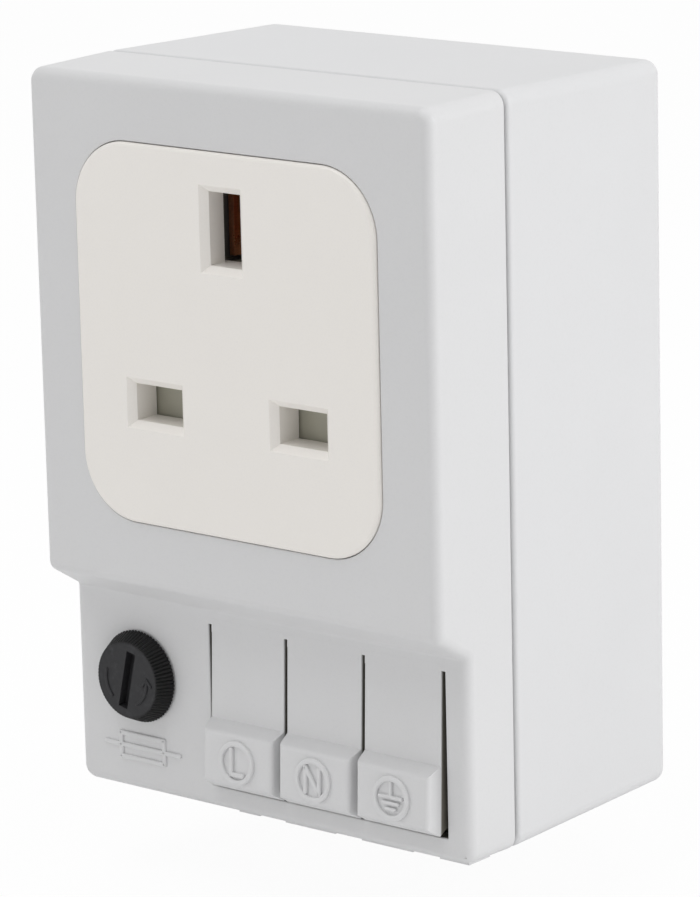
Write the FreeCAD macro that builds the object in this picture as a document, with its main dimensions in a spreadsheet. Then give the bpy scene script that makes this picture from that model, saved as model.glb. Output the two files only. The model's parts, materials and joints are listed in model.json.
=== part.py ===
import FreeCAD, Part
import math
import os

import Sketcher
from FreeCAD import Placement, Rotation, Vector

# A socket for British plugs that clips onto a 35 mm DIN rail.
# Frame: +X to the right and +Z up as seen from the front, +Y towards the rail.
# The origin is the middle of the seat on the rail, in the plane of the housing's back wall.

doc = FreeCAD.newDocument("din_rail_socket")
sheet = doc.addObject("Spreadsheet::Sheet", "Sizes")

SIZES = [
    # Housing
    ("housing_width", 61.6),
    ("housing_height", 90.2),
    ("housing_depth", 44.9),
    ("housing_draft", 0.52),
    ("housing_wall", 2.2),
    ("housing_corner", 1.8),
    ("housing_edge", 1.5),
    ("cover_depth", 13.5),
    ("cover_draft", 0.24),
    ("cover_wall", 2.0),
    ("cover_edge", 1.3),
    ("seam_gap", 0.55),
    ("seam_edge_front", 0.2),
    ("seam_edge_back", 0.6),
    ("collar_clearance", 0.15),
    ("collar_wall", 1.2),
    ("collar_reach", 2.0),
    ("collar_root", 2.8),
    # Lower panel of the cover, set back behind the upper one
    ("panel_recess", 5.15),
    ("panel_height", 25.2),
    ("step_rise", 3.15),
    ("step_foot_edge", 0.7),
    # Socket insert
    ("plate_width", 45.9),
    ("plate_height", 46.1),
    ("plate_corner", 8.0),
    ("plate_offset", -0.27),
    ("plate_drop", 0.055),
    ("plate_rise", 0.4),
    ("plate_gap", 0.1),
    ("plate_edge", 0.5),
    ("opening_edge", 0.12),
    ("flange_margin", 1.0),
    ("flange_depth", 1.9),
    ("flange_clearance", 0.1),
    ("pin_spacing", 22.2),
    ("pin_row_drop", 8.3),
    ("line_slot_width", 7.2),
    ("line_slot_height", 4.5),
    ("earth_slot_width", 4.8),
    ("earth_slot_height", 8.8),
    ("slot_lead_in", 0.85),
    ("earth_recess", 0.9),
    ("socket_body_depth", 16.4),
    ("socket_body_inset", 0.6),
    ("socket_post_width", 2.6),
    ("socket_post_height", 4.0),
    ("socket_post_foot_inset", 4.45),
    ("socket_post_top_inset", 3.95),
    # Shutter behind the slots
    ("shutter_thickness", 2.4),
    ("shutter_gap", 0.3),
    ("shutter_lap", 0.8),
    ("shutter_travel", 5.6),
    ("shutter_side_lap", 0.9),
    ("shutter_side_room", 0.3),
    ("shutter_stem_width", 3.2),
    ("shutter_lug_depth", 4.6),
    ("shutter_lug_drop", 4.4),
    ("shutter_lug_rise", 1.2),
    ("shutter_lug_clearance", 0.45),
    ("shutter_lug_root", 0.5),
    # Contacts for the plug's pins
    ("strip_thickness", 0.8),
    ("line_contact_width", 5.4),
    ("line_contact_gap", 4.2),
    ("line_contact_flare", 0.7),
    ("line_contact_setback", 0.2),
    ("earth_contact_width", 8.0),
    ("earth_contact_gap", 4.2),
    ("earth_contact_flare", 0.5),
    ("earth_contact_setback", 1.15),
    ("contact_length", 10.6),
    ("contact_mouth_depth", 2.2),
    ("contact_clearance", 0.4),
    ("chamber_side_room", 1.1),
    ("tail_clearance", 0.1),
    # Buttons that open the wire clamps
    ("fuse_field_width", 21.85),
    ("window_margin", 3.55),
    ("window_edge", 0.2),
    ("button_slit", 0.5),
    ("button_edge", 0.12),
    ("button_hinge_height", 23.35),
    ("button_hinge_gap", 0.08),
    ("button_root_thickness", 1.0),
    ("button_thickness", 1.6),
    ("button_tilt", 2.4),
    ("tongue_foot_slope", 0.9),
    ("pad_foot_height", 3.4),
    ("pad_top_height", 11.9),
    ("pad_rise", 1.95),
    ("pad_side_slope", 0.35),
    ("pad_top_slope", 1.1),
    ("pad_foot_slope", 1.1),
    ("pad_edge", 0.6),
    ("window_foot_height", 3.05),
    ("ring_radius", 2.75),
    ("ring_width", 0.7),
    ("ring_drop", 0.2),
    ("ring_rise", 0.4),
    ("ring_edge", 0.22),
    ("finger_width", 1.0),
    ("finger_inset", 0.6),
    ("finger_reach", 3.75),
    ("finger_height", 1.8),
    ("finger_lift", 5.15),
    # Wire entries in the cover's bottom wall
    ("entry_radius", 2.0),
    ("entry_clearance", 0.3),
    ("entry_depth", 10.8),
    ("entry_boss_height", 2.1),
    ("entry_boss_depth", 5.0),
    ("entry_boss_inset", 1.0),
    ("foot_inset", 0.9),
    ("foot_drop", 1.15),
    ("foot_depth", 4.0),
    ("foot_gap", 4.1),
    # Terminal block with the wire clamps
    ("block_front", 8.7),
    ("block_depth", 13.1),
    ("block_top_height", 19.1),
    ("block_wall", 1.8),
    ("block_clearance", 0.1),
    ("block_rib_thickness", 1.8),
    ("block_rib_rise", 5.0),
    ("chamber_partition", 2.7),
    ("chamber_floor_height", 5.6),
    ("chamber_roof_height", 17.0),
    ("clamp_plate_setback", 0.2),
    ("clamp_plate_clearance", 0.5),
    ("clamp_spring_clearance", 0.8),
    ("clamp_spring_seat_gap", 0.05),
    ("clamp_spring_thickness", 0.5),
    ("clamp_spring_loop", 2.0),
    ("clamp_spring_slope", 50.0),
    ("clamp_spring_leg", 9.0),
    ("clamp_spring_back_leg", 7.0),
    ("bar_width", 2.4),
    ("supply_bar_width", 3.0),
    ("bar_turn_drop", 1.0),
    # Fuse holder
    ("fuse_inset", 10.53),
    ("fuse_height", 14.95),
    ("fuse_length", 20.0),
    ("fuse_radius", 2.6),
    ("fuse_end_length", 5.0),
    ("fuse_glass_wall", 0.5),
    ("fuse_end_wall", 0.3),
    ("fuse_wire_radius", 0.12),
    ("fuse_set_back", 0.75),
    ("holder_radius", 5.0),
    ("holder_bore", 3.3),
    ("holder_mouth", 4.1),
    ("holder_mouth_depth", 6.4),
    ("holder_length", 27.2),
    ("holder_flange_radius", 6.6),
    ("holder_flange_depth", 1.2),
    ("holder_clearance", 0.1),
    ("holder_seat_gap", 0.05),
    ("holder_rest_width", 8.0),
    ("fuse_tail_drop", 3.0),
    ("fuse_tail_rise", 6.3),
    ("fuse_tail_lap", 2.0),
    ("end_contact_gap", 0.1),
    ("end_contact_lap", 0.3),
    ("end_contact_inset", 0.4),
    ("cap_radius", 5.8),
    ("cap_front_radius", 4.8),
    ("cap_rise", 2.5),
    ("cap_underside_gap", 0.3),
    ("cap_edge", 0.35),
    ("cap_nose_radius", 3.9),
    ("cap_nose_length", 5.2),
    ("cap_slot_width", 1.4),
    ("cap_slot_length", 7.3),
    ("cap_slot_depth", 1.2),
    ("cap_slot_tilt", 13.0),
    ("knurl_count", 72),
    ("knurl_depth", 0.15),
    ("knurl_width", 0.3),
    ("cap_clip_wall", 0.3),
    ("cap_clip_length", 6.6),
    ("cap_clip_grip_gap", 0.02),
    ("side_contact_width", 3.2),
    ("side_contact_room", 0.1),
    ("side_contact_reach", 1.0),
    ("side_contact_setback", 0.3),
    ("side_contact_gap", 0.12),
    # Back of the housing: seat, hook and latch for the rail
    ("rail_height", 35.0),
    ("rail_flange", 1.0),
    ("rail_clearance", 0.25),
    ("hook_lap", 1.6),
    ("hook_width", 32.0),
    ("hook_height", 5.2),
    ("hook_lip", 2.35),
    ("hook_nose", 0.9),
    ("hook_lead_in", 1.3),
    ("hook_edge", 1.0),
    ("latch_width", 16.0),
    ("latch_thickness", 3.6),
    ("latch_length", 25.7),
    ("latch_clearance", 0.25),
    ("latch_lap", 1.8),
    ("latch_nose", 1.0),
    ("latch_lead_in", 0.6),
    ("latch_slot_width", 4.0),
    ("latch_slot_length", 12.3),
    ("latch_slot_drop", 3.7),
    ("tool_slot_width", 6.0),
    ("tool_slot_height", 1.5),
    ("guide_wall", 2.5),
    ("guide_lip", 1.5),
    ("guide_lip_thickness", 1.2),
    ("guide_length", 18.0),
    ("guide_drop", 4.0),
    ("spring_lug_height", 2.0),
    # Springs
    ("spring_wire_radius", 0.22),
    ("latch_spring_radius", 1.4),
    ("latch_spring_turns", 6),
    ("shutter_spring_radius", 1.7),
    ("shutter_spring_turns", 6),
    ("shutter_spring_length", 10.0),
    ("spring_seat_gap", 0.05),
    # Screws
    ("screw_upper_side_inset", 5.6),
    ("screw_upper_top_inset", 5.5),
    ("screw_lower_side_inset", 5.5),
    ("screw_lower_lift", 2.1),
    ("screw_shank_radius", 1.25),
    ("screw_head_radius", 2.5),
    ("screw_head_height", 1.8),
    ("screw_head_depth", 14.0),
    ("screw_shoulder", 1.0),
    ("screw_reach", 4.2),
    ("screw_recess_radius", 0.9),
    ("screw_recess_depth", 1.1),
    ("screw_clearance", 0.2),
    ("boss_radius", 2.4),
    ("tower_radius", 2.9),
    ("tower_head_radius", 3.6),
    ("tower_gap", 0.1),
    ("tower_bar_gap", 0.15),
    ("thread_clearance", 0.02),
    ("socket_screw_offset", 18.4),
    ("socket_screw_lift", 15.5),
    ("socket_screw_shank_radius", 1.1),
    ("socket_screw_head_radius", 2.1),
    ("socket_screw_head_height", 1.5),
    ("socket_screw_bite", 2.6),
    ("socket_screw_recess", 1.0),
]


# How far a cut runs past the surface that it opens, and one solid into another that it joins
PAST = 1.0


class Measure:
    """A length as the sheet's formula and as a number, so both say the same."""

    def __init__(self, text, value):
        self.text = text
        self.value = float(value)

    def __add__(self, other):
        other = measure(other)
        return Measure(f"({self.text} + {other.text})", self.value + other.value)

    def __sub__(self, other):
        other = measure(other)
        return Measure(f"({self.text} - {other.text})", self.value - other.value)

    def __mul__(self, factor):
        factor = measure(factor)
        return Measure(f"({self.text} * {factor.text})", self.value * factor.value)

    def __truediv__(self, divisor):
        divisor = measure(divisor)
        return Measure(f"({self.text} / {divisor.text})", self.value / divisor.value)

    def __radd__(self, other):
        return measure(other) + self

    def __rsub__(self, other):
        return measure(other) - self

    def __rmul__(self, factor):
        return measure(factor) * self

    def __neg__(self):
        return Measure(f"(-{self.text})", -self.value)

    def __float__(self):
        return self.value


def measure(number):
    """A plain number as a measure, or the measure itself."""
    if isinstance(number, Measure):
        return number
    return Measure(f"({number})" if number < 0 else f"{number}", number)


def fill_sheet():
    """Writes each size into the sheet under its name and returns them as measures."""
    sizes = {}
    for row, (name, value) in enumerate(SIZES, start=1):
        sheet.set(f"A{row}", name.replace("_", " "))
        sheet.set(f"B{row}", str(value))
        sheet.setAlias(f"B{row}", name)
    doc.recompute()
    for name, value in SIZES:
        sizes[name] = Measure(f"Sizes.{name}", sheet.get(name))
    return sizes


S = fill_sheet()

# Planes and centres that several pieces share
FRONT = -S["housing_depth"]
SEAM = FRONT + S["cover_depth"]
REAR_RIM = SEAM + S["seam_gap"]
PANEL = FRONT + S["panel_recess"]
PANEL_BACK = PANEL + S["cover_wall"]
BOTTOM = -S["housing_height"] / 2
TOP = S["housing_height"] / 2
HALF_WIDTH = S["housing_width"] / 2
STEP_FOOT = BOTTOM + S["panel_height"]
STEP_TOP = STEP_FOOT + S["step_rise"]

PLATE_X = S["plate_offset"]
PLATE_Z = (STEP_TOP + TOP) / 2 - S["plate_drop"]
PLATE_FRONT = FRONT - S["plate_rise"]
PLATE_BACK = FRONT + S["cover_wall"] + S["flange_depth"]
SOCKET_FRONT = PLATE_BACK + S["flange_clearance"]
SOCKET_HALF_WIDTH = S["plate_width"] / 2 - S["socket_body_inset"]
SOCKET_HALF_HEIGHT = S["plate_height"] / 2 - S["socket_body_inset"]
LINE_Z = PLATE_Z - S["pin_row_drop"]
EARTH_Z = LINE_Z + S["pin_spacing"]
LIVE_X = PLATE_X + S["pin_spacing"] / 2
NEUTRAL_X = PLATE_X - S["pin_spacing"] / 2
SHUTTER_FRONT = PLATE_BACK + S["shutter_gap"]
SHUTTER_BACK = SHUTTER_FRONT + S["shutter_thickness"]
CHAMBER_FRONT = SHUTTER_BACK + S["shutter_gap"]
SOCKET_BACK = PLATE_BACK + S["socket_body_depth"]
CONTACT_BACK = CHAMBER_FRONT + S["contact_length"]
BAR_FRONT = SOCKET_BACK + S["strip_thickness"]
SHUTTER_FOOT = LINE_Z - S["line_slot_height"] / 2 - S["shutter_lap"]
SHUTTER_WING_TOP = LINE_Z + S["line_slot_height"] / 2 + S["shutter_lap"]
SHUTTER_STEM_TOP = EARTH_Z - S["earth_slot_height"] / 2 - S["shutter_gap"]
SHUTTER_LUG_FOOT = SHUTTER_STEM_TOP - S["shutter_lug_drop"]
SHUTTER_WING = S["pin_spacing"] / 2 + S["line_slot_width"] / 2 + S["shutter_side_lap"]
SHUTTER_SPRING_ROOM = S["shutter_spring_radius"] + S["spring_wire_radius"] + S["shutter_side_room"]
EARTH_ROOM_WIDTH = (
    S["earth_contact_gap"]
    + (S["earth_contact_flare"] + S["strip_thickness"] + S["contact_clearance"]) * 2
)
EARTH_ROOM_HEIGHT = S["earth_contact_width"] + S["contact_clearance"] * 2

WINDOW_LEFT = S["fuse_field_width"] - HALF_WIDTH
WINDOW_RIGHT = HALF_WIDTH - S["window_margin"]
WINDOW_FOOT = BOTTOM + S["window_foot_height"]
BUTTON_PITCH = (WINDOW_RIGHT - WINDOW_LEFT - S["button_slit"]) / 3
ROW_X = (WINDOW_LEFT + WINDOW_RIGHT) / 2
BUTTON_X = [ROW_X + BUTTON_PITCH * place_in_row for place_in_row in (-1, 0, 1)]
HINGE_Z = BOTTOM + S["button_hinge_height"]
HINGE_Y = PANEL + S["button_root_thickness"] / 2

ENTRY_Y = FRONT + S["entry_depth"]
ENTRY_TOP = BOTTOM + S["cover_wall"] + S["entry_boss_height"]
BLOCK_FRONT = FRONT + S["block_front"]
BLOCK_BACK = BLOCK_FRONT + S["block_depth"]
BLOCK_TOP = BOTTOM + S["block_top_height"]
CHAMBER_FLOOR = BOTTOM + S["chamber_floor_height"]
CHAMBER_ROOF = BOTTOM + S["chamber_roof_height"]
CHAMBER_WIDTH = BUTTON_PITCH - S["chamber_partition"]
CLAMP_SPRING_WIDTH = CHAMBER_WIDTH - S["clamp_spring_clearance"] * 2
FINGER_SPREAD = CLAMP_SPRING_WIDTH / 2 - S["finger_inset"]
CLAMP_PLATE_WIDTH = FINGER_SPREAD * 2 - S["finger_width"] - S["clamp_plate_clearance"] * 2
CLAMP_PLATE_FRONT = BLOCK_FRONT + S["clamp_plate_setback"]
CLAMP_PLATE_BACK = CLAMP_PLATE_FRONT + S["strip_thickness"]
TOP_BAR_TOP = CHAMBER_ROOF - S["block_clearance"]
TOP_BAR_FOOT = TOP_BAR_TOP - S["strip_thickness"]

FUSE_X = S["fuse_inset"] - HALF_WIDTH
FUSE_Z = BOTTOM + S["fuse_height"]
CAP_UNDERSIDE = PANEL - S["cap_underside_gap"]
FUSE_FRONT = PANEL + S["fuse_set_back"]
FUSE_BACK = FUSE_FRONT + S["fuse_length"]
HOLDER_BACK = PANEL + S["holder_length"]

RAIL_TOP = S["rail_height"] / 2
RAIL_FOOT = -S["rail_height"] / 2
LIP_FRONT = S["rail_flange"] + S["rail_clearance"]
LATCH_TOP = RAIL_FOOT - S["rail_clearance"]
LATCH_FOOT = LATCH_TOP - S["latch_length"]
LATCH_SLOT_TOP = LATCH_TOP - S["latch_slot_drop"]
LATCH_SLOT_FOOT = LATCH_SLOT_TOP - S["latch_slot_length"]
SPRING_LUG_FOOT = LATCH_SLOT_FOOT + S["latch_clearance"]
SPRING_LUG_TOP = SPRING_LUG_FOOT + S["spring_lug_height"]
LATCH_FRONT = S["latch_clearance"]
LATCH_BACK = LATCH_FRONT + S["latch_thickness"]

COLLAR_FRONT = REAR_RIM - S["collar_reach"] - S["seam_gap"]
SCREW_ROWS = [
    (HALF_WIDTH - S["screw_upper_side_inset"], TOP - S["screw_upper_top_inset"]),
    (HALF_WIDTH - S["screw_lower_side_inset"], STEP_TOP + S["screw_lower_lift"]),
]
SCREWS = [(side * x, z) for x, z in SCREW_ROWS for side in (-1, 1)]
EARTH_RISER_X = SCREW_ROWS[1][0] - S["tower_radius"] - S["tower_bar_gap"] - S["bar_width"] / 2
SOCKET_SCREWS = [
    (PLATE_X + side * S["socket_screw_offset"], PLATE_Z + side * S["socket_screw_lift"])
    for side in (-1, 1)
]


def bind(item, name, length):
    """Ties one property of an object to a measure."""
    item.setExpression(name, measure(length).text)


def place(item, x=0, y=0, z=0):
    """Ties the three coordinates of an object's place to measures."""
    bind(item, "Placement.Base.x", x)
    bind(item, "Placement.Base.y", y)
    bind(item, "Placement.Base.z", z)


def new_body(name):
    """An empty body whose label is the piece's name."""
    body = doc.addObject("PartDesign::Body", name)
    body.Label = name
    return body


def new_sketch(body, name, plane, offset=0):
    """A sketch on one of the body's own planes, moved along that plane's normal."""
    sketch = body.newObject("Sketcher::SketchObject", name)
    planes = [item for item in body.Origin.OriginFeatures if item.Role == plane]
    sketch.AttachmentSupport = [(planes[0], "")]
    sketch.MapMode = "FlatFace"
    bind(sketch, "AttachmentOffset.Base.z", offset)
    return sketch


def fix_point(sketch, geometry, vertex, x, y):
    """Fixes one point of a sketch at two measured distances from its origin."""
    for kind, length in (("DistanceX", x), ("DistanceY", y)):
        length = measure(length)
        constraint = Sketcher.Constraint(kind, -1, 1, geometry, vertex, length.value)
        index = sketch.addConstraint(constraint)
        sketch.setExpression(f"Constraints[{index}]", length.text)


def draw_polygon(sketch, points):
    """A closed outline through measured points."""
    first = sketch.GeometryCount
    count = len(points)
    for index, (x, y) in enumerate(points):
        next_x, next_y = points[(index + 1) % count]
        start = Vector(float(measure(x)), float(measure(y)), 0)
        end = Vector(float(measure(next_x)), float(measure(next_y)), 0)
        sketch.addGeometry(Part.LineSegment(start, end))
    for index in range(count):
        following = first + (index + 1) % count
        sketch.addConstraint(Sketcher.Constraint("Coincident", first + index, 2, following, 1))
    for index, (x, y) in enumerate(points):
        fix_point(sketch, first + index, 1, x, y)


def draw_rectangle(sketch, left, right, low, high):
    """A rectangle between two measured corners."""
    draw_polygon(sketch, [(left, low), (right, low), (right, high), (left, high)])


def draw_circle(sketch, x, y, radius):
    """A circle of measured centre and radius."""
    radius = measure(radius)
    centre = Vector(float(measure(x)), float(measure(y)), 0)
    circle = sketch.addGeometry(Part.Circle(centre, Vector(0, 0, 1), radius.value))
    index = sketch.addConstraint(Sketcher.Constraint("Radius", circle, radius.value))
    sketch.setExpression(f"Constraints[{index}]", radius.text)
    fix_point(sketch, circle, 3, x, y)


def pad(body, sketch, length, backwards=False, both_ways=False):
    """Adds the sketch's outline, as thick as length, along its normal or against it."""
    feature = body.newObject("PartDesign::Pad", sketch.Name + "_pad")
    feature.Profile = sketch
    bind(feature, "Length", length)
    feature.Reversed = backwards
    if both_ways:
        feature.SideType = "Symmetric"
    sketch.Visibility = False
    return feature


def pocket(body, sketch, length, backwards=False, both_ways=False):
    """Cuts the sketch's outline, against its normal or, backwards, along it."""
    feature = body.newObject("PartDesign::Pocket", sketch.Name + "_cut")
    feature.Profile = sketch
    bind(feature, "Length", length)
    feature.Reversed = backwards
    if both_ways:
        feature.SideType = "Symmetric"
    sketch.Visibility = False
    doc.recompute()
    if not feature.Shape.Volume < feature.BaseFeature.Shape.Volume - 1e-6:
        raise ValueError(f"{feature.Name} cuts nothing")
    return feature


def edges_where(feature, test):
    """Names of the edges of a feature whose middle point and direction pass a test."""
    doc.recompute()
    names = []
    for number, edge in enumerate(feature.Shape.Edges, start=1):
        first, last = edge.ParameterRange
        middle = edge.valueAt((first + last) / 2)
        direction = edge.valueAt(last) - middle
        if direction.Length > 0:
            direction.normalize()
        if test(middle, direction, edge):
            names.append(f"Edge{number}")
    return names


def dress(body, kind, name, feature, test, size):
    """A fillet or chamfer, as kind says, on the edges that pass the test."""
    names = edges_where(feature, test)
    if not names:
        raise ValueError(f"{name} finds no edge")
    dressed = body.newObject(f"PartDesign::{kind}", name)
    dressed.Base = (feature, names)
    bind(dressed, "Radius" if kind == "Fillet" else "Size", size)
    return dressed


def near(value, target, reach=0.02):
    """Whether two lengths agree within a small reach."""
    return abs(value - float(target)) < reach


def along_depth(middle, direction, edge):
    """Whether an edge runs from front to back."""
    return abs(direction.y) > 0.99


def box(name, x, y, z):
    """A box between measured limits, each given as a pair."""
    item = doc.addObject("Part::Box", name)
    bind(item, "Length", x[1] - x[0])
    bind(item, "Width", y[1] - y[0])
    bind(item, "Height", z[1] - z[0])
    place(item, x[0], y[0], z[0])
    return item


def rod(name, x, z, y, radius):
    """A round rod along Y between two measured limits."""
    item = doc.addObject("Part::Cylinder", name)
    bind(item, "Radius", radius)
    bind(item, "Height", y[1] - y[0])
    item.Placement = Placement(Vector(), Rotation(Vector(1, 0, 0), -90))
    place(item, x, y[0], z)
    return item


def join(name, items):
    """One solid made of several that touch or overlap."""
    item = doc.addObject("Part::MultiFuse", name)
    item.Shapes = items
    item.Refine = True
    item.Label = name
    return item


def subtract(name, base, tools):
    """A solid with others cut out of it."""
    tool = tools[0]
    if len(tools) > 1:
        tool = doc.addObject("Part::MultiFuse", name + "_tools")
        tool.Shapes = tools
    item = doc.addObject("Part::Cut", name)
    item.Base = base
    item.Tool = tool
    item.Refine = True
    item.Label = name
    return item


def group(name, items):
    """Several separate solids under one name."""
    item = doc.addObject("Part::Compound", name)
    item.Links = items
    item.Label = name
    return item


def outer_shell(body, name, offset, depth, draft, towards_back):
    """The drafted block of one housing half, with its corners rounded."""
    outline = new_sketch(body, name, "XZ_Plane", -offset)
    draw_rectangle(outline, -HALF_WIDTH, HALF_WIDTH, BOTTOM, TOP)
    block = pad(body, outline, depth, backwards=towards_back)
    block.setExpression("TaperAngle", f"-atan({draft.text} / {depth.text})")
    return dress(body, "Fillet", name + "_corners", block, along_depth, S["housing_corner"])


def cut_hollow(body, name, offset, depth, wall, foot, backwards):
    """The hollow of a housing half inside its wall, from its open side."""
    outline = new_sketch(body, name, "XZ_Plane", -offset)
    draw_rectangle(outline, wall - HALF_WIDTH, HALF_WIDTH - wall, foot, TOP - wall)
    return pocket(body, outline, depth, backwards=backwards)


def on_front_rim(middle, direction, edge):
    """Whether an edge is part of the rim around the cover's front, or the step's upper edge."""
    reach = float(S["housing_corner"]) * 1.5
    at_side = abs(middle.x) > float(HALF_WIDTH) - reach or abs(middle.z) > float(TOP) - reach
    forward = middle.y < float(PANEL) + 0.05
    on_step = near(middle.y, FRONT) and near(middle.z, STEP_TOP)
    return on_step or (at_side and forward and abs(direction.y) < 0.95)


def make_front_cover():
    """Front half of the housing, with its two panels, button window and wire entries."""
    body = new_body("front_cover")
    outer_shell(body, "cover_outline", SEAM, S["cover_depth"], S["cover_draft"], False)

    step = new_sketch(body, "step_profile", "YZ_Plane")
    far = S["cover_depth"]
    draw_polygon(
        step,
        [
            (FRONT - far, STEP_TOP),
            (FRONT, STEP_TOP),
            (PANEL, STEP_FOOT),
            (PANEL, BOTTOM - far),
            (FRONT - far, BOTTOM - far),
        ],
    )
    stepped = pocket(body, step, S["housing_width"] * 2, both_ways=True)
    hollowed = dress(
        body,
        "Fillet",
        "step_foot",
        stepped,
        lambda middle, direction, edge: near(middle.y, PANEL) and near(middle.z, STEP_FOOT),
        S["step_foot_edge"],
    )
    softened = dress(body, "Fillet", "cover_front_edges", hollowed, on_front_rim, S["cover_edge"])
    dress(
        body,
        "Fillet",
        "cover_seam_edges",
        softened,
        lambda middle, direction, edge: near(middle.y, SEAM),
        S["seam_edge_front"],
    )

    wall = S["cover_wall"]
    upper_foot = STEP_TOP + wall
    cut_hollow(body, "upper_hollow", SEAM, S["cover_depth"] - wall, wall, upper_foot, True)
    lower_depth = S["cover_depth"] - S["panel_recess"] - wall
    lower = new_sketch(body, "lower_hollow", "XZ_Plane", -SEAM)
    draw_rectangle(lower, wall - HALF_WIDTH, HALF_WIDTH - wall, BOTTOM + wall, upper_foot + wall)
    pocket(body, lower, lower_depth, backwards=True)

    opening = new_sketch(body, "plate_opening", "XZ_Plane", -FRONT)
    half_width = S["plate_width"] / 2 + S["plate_gap"]
    half_height = S["plate_height"] / 2 + S["plate_gap"]
    draw_rectangle(
        opening,
        PLATE_X - half_width,
        PLATE_X + half_width,
        PLATE_Z - half_height,
        PLATE_Z + half_height,
    )
    opened = pocket(body, opening, wall * 2)
    rounded = dress(
        body,
        "Fillet",
        "plate_opening_corners",
        opened,
        lambda middle, direction, edge: abs(direction.y) > 0.99
        and near(edge.Length, wall)
        and near(abs(middle.x - float(PLATE_X)), half_width),
        S["plate_corner"] + S["plate_gap"],
    )
    dress(
        body,
        "Fillet",
        "plate_opening_edge",
        rounded,
        lambda middle, direction, edge: near(middle.y, FRONT)
        and abs(middle.x - float(PLATE_X)) < float(half_width) + 0.05
        and abs(middle.z - float(PLATE_Z)) < float(half_height) + 0.05,
        S["opening_edge"],
    )

    window = new_sketch(body, "button_window", "XZ_Plane", -PANEL)
    draw_rectangle(window, WINDOW_LEFT, WINDOW_RIGHT, WINDOW_FOOT, HINGE_Z)
    framed = pocket(body, window, wall * 2)
    dress(
        body,
        "Fillet",
        "button_window_edge",
        framed,
        lambda middle, direction, edge: near(middle.y, PANEL)
        and float(WINDOW_LEFT) - 0.05 < middle.x < float(WINDOW_RIGHT) + 0.05
        and float(WINDOW_FOOT) - 0.05 < middle.z < float(HINGE_Z) - 1,
        S["window_edge"],
    )

    fuse_hole = new_sketch(body, "fuse_hole", "XZ_Plane", -PANEL)
    draw_circle(fuse_hole, FUSE_X, FUSE_Z, S["holder_radius"] + S["holder_clearance"])
    pocket(body, fuse_hole, wall * 2)

    boss = new_sketch(body, "entry_boss", "XY_Plane", BOTTOM + wall / 2)
    boss_front = ENTRY_Y - S["entry_boss_depth"] / 2
    boss_back = ENTRY_Y + S["entry_boss_depth"] / 2 - S["block_clearance"]
    boss_inset = S["entry_boss_inset"]
    draw_rectangle(boss, WINDOW_LEFT + boss_inset, WINDOW_RIGHT - boss_inset, boss_front, boss_back)
    pad(body, boss, S["entry_boss_height"] + wall / 2)

    feet = new_sketch(body, "entry_feet", "XY_Plane", BOTTOM + wall / 2)
    foot_front = ENTRY_Y - S["foot_depth"] / 2
    foot_back = ENTRY_Y + S["foot_depth"] / 2
    starts = [WINDOW_LEFT + S["foot_inset"]] + [x + S["foot_gap"] / 2 for x in BUTTON_X]
    ends = [x - S["foot_gap"] / 2 for x in BUTTON_X] + [WINDOW_RIGHT + S["foot_inset"] / 4]
    for start, end in zip(starts, ends):
        draw_rectangle(feet, start, end, foot_front, foot_back)
    pad(body, feet, S["foot_drop"] + wall / 2, backwards=True)

    entries = new_sketch(body, "wire_entries", "XY_Plane", BOTTOM - S["foot_drop"] * 2)
    for x in BUTTON_X:
        draw_circle(entries, x, ENTRY_Y, S["entry_radius"])
    pocket(body, entries, S["cover_wall"] * 3 + S["entry_boss_height"], backwards=True)

    boss_end = COLLAR_FRONT - S["tower_gap"]
    bosses = new_sketch(body, "screw_bosses", "XZ_Plane", -boss_end)
    holes = new_sketch(body, "boss_holes", "XZ_Plane", -boss_end)
    for x, z in SCREWS:
        draw_circle(bosses, x, z, S["boss_radius"])
        draw_circle(holes, x, z, S["screw_shank_radius"] + S["thread_clearance"])
    pad(body, bosses, boss_end - FRONT - wall / 2)
    pocket(body, holes, S["screw_reach"] + S["screw_clearance"] * 2, backwards=True)
    return body


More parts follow.
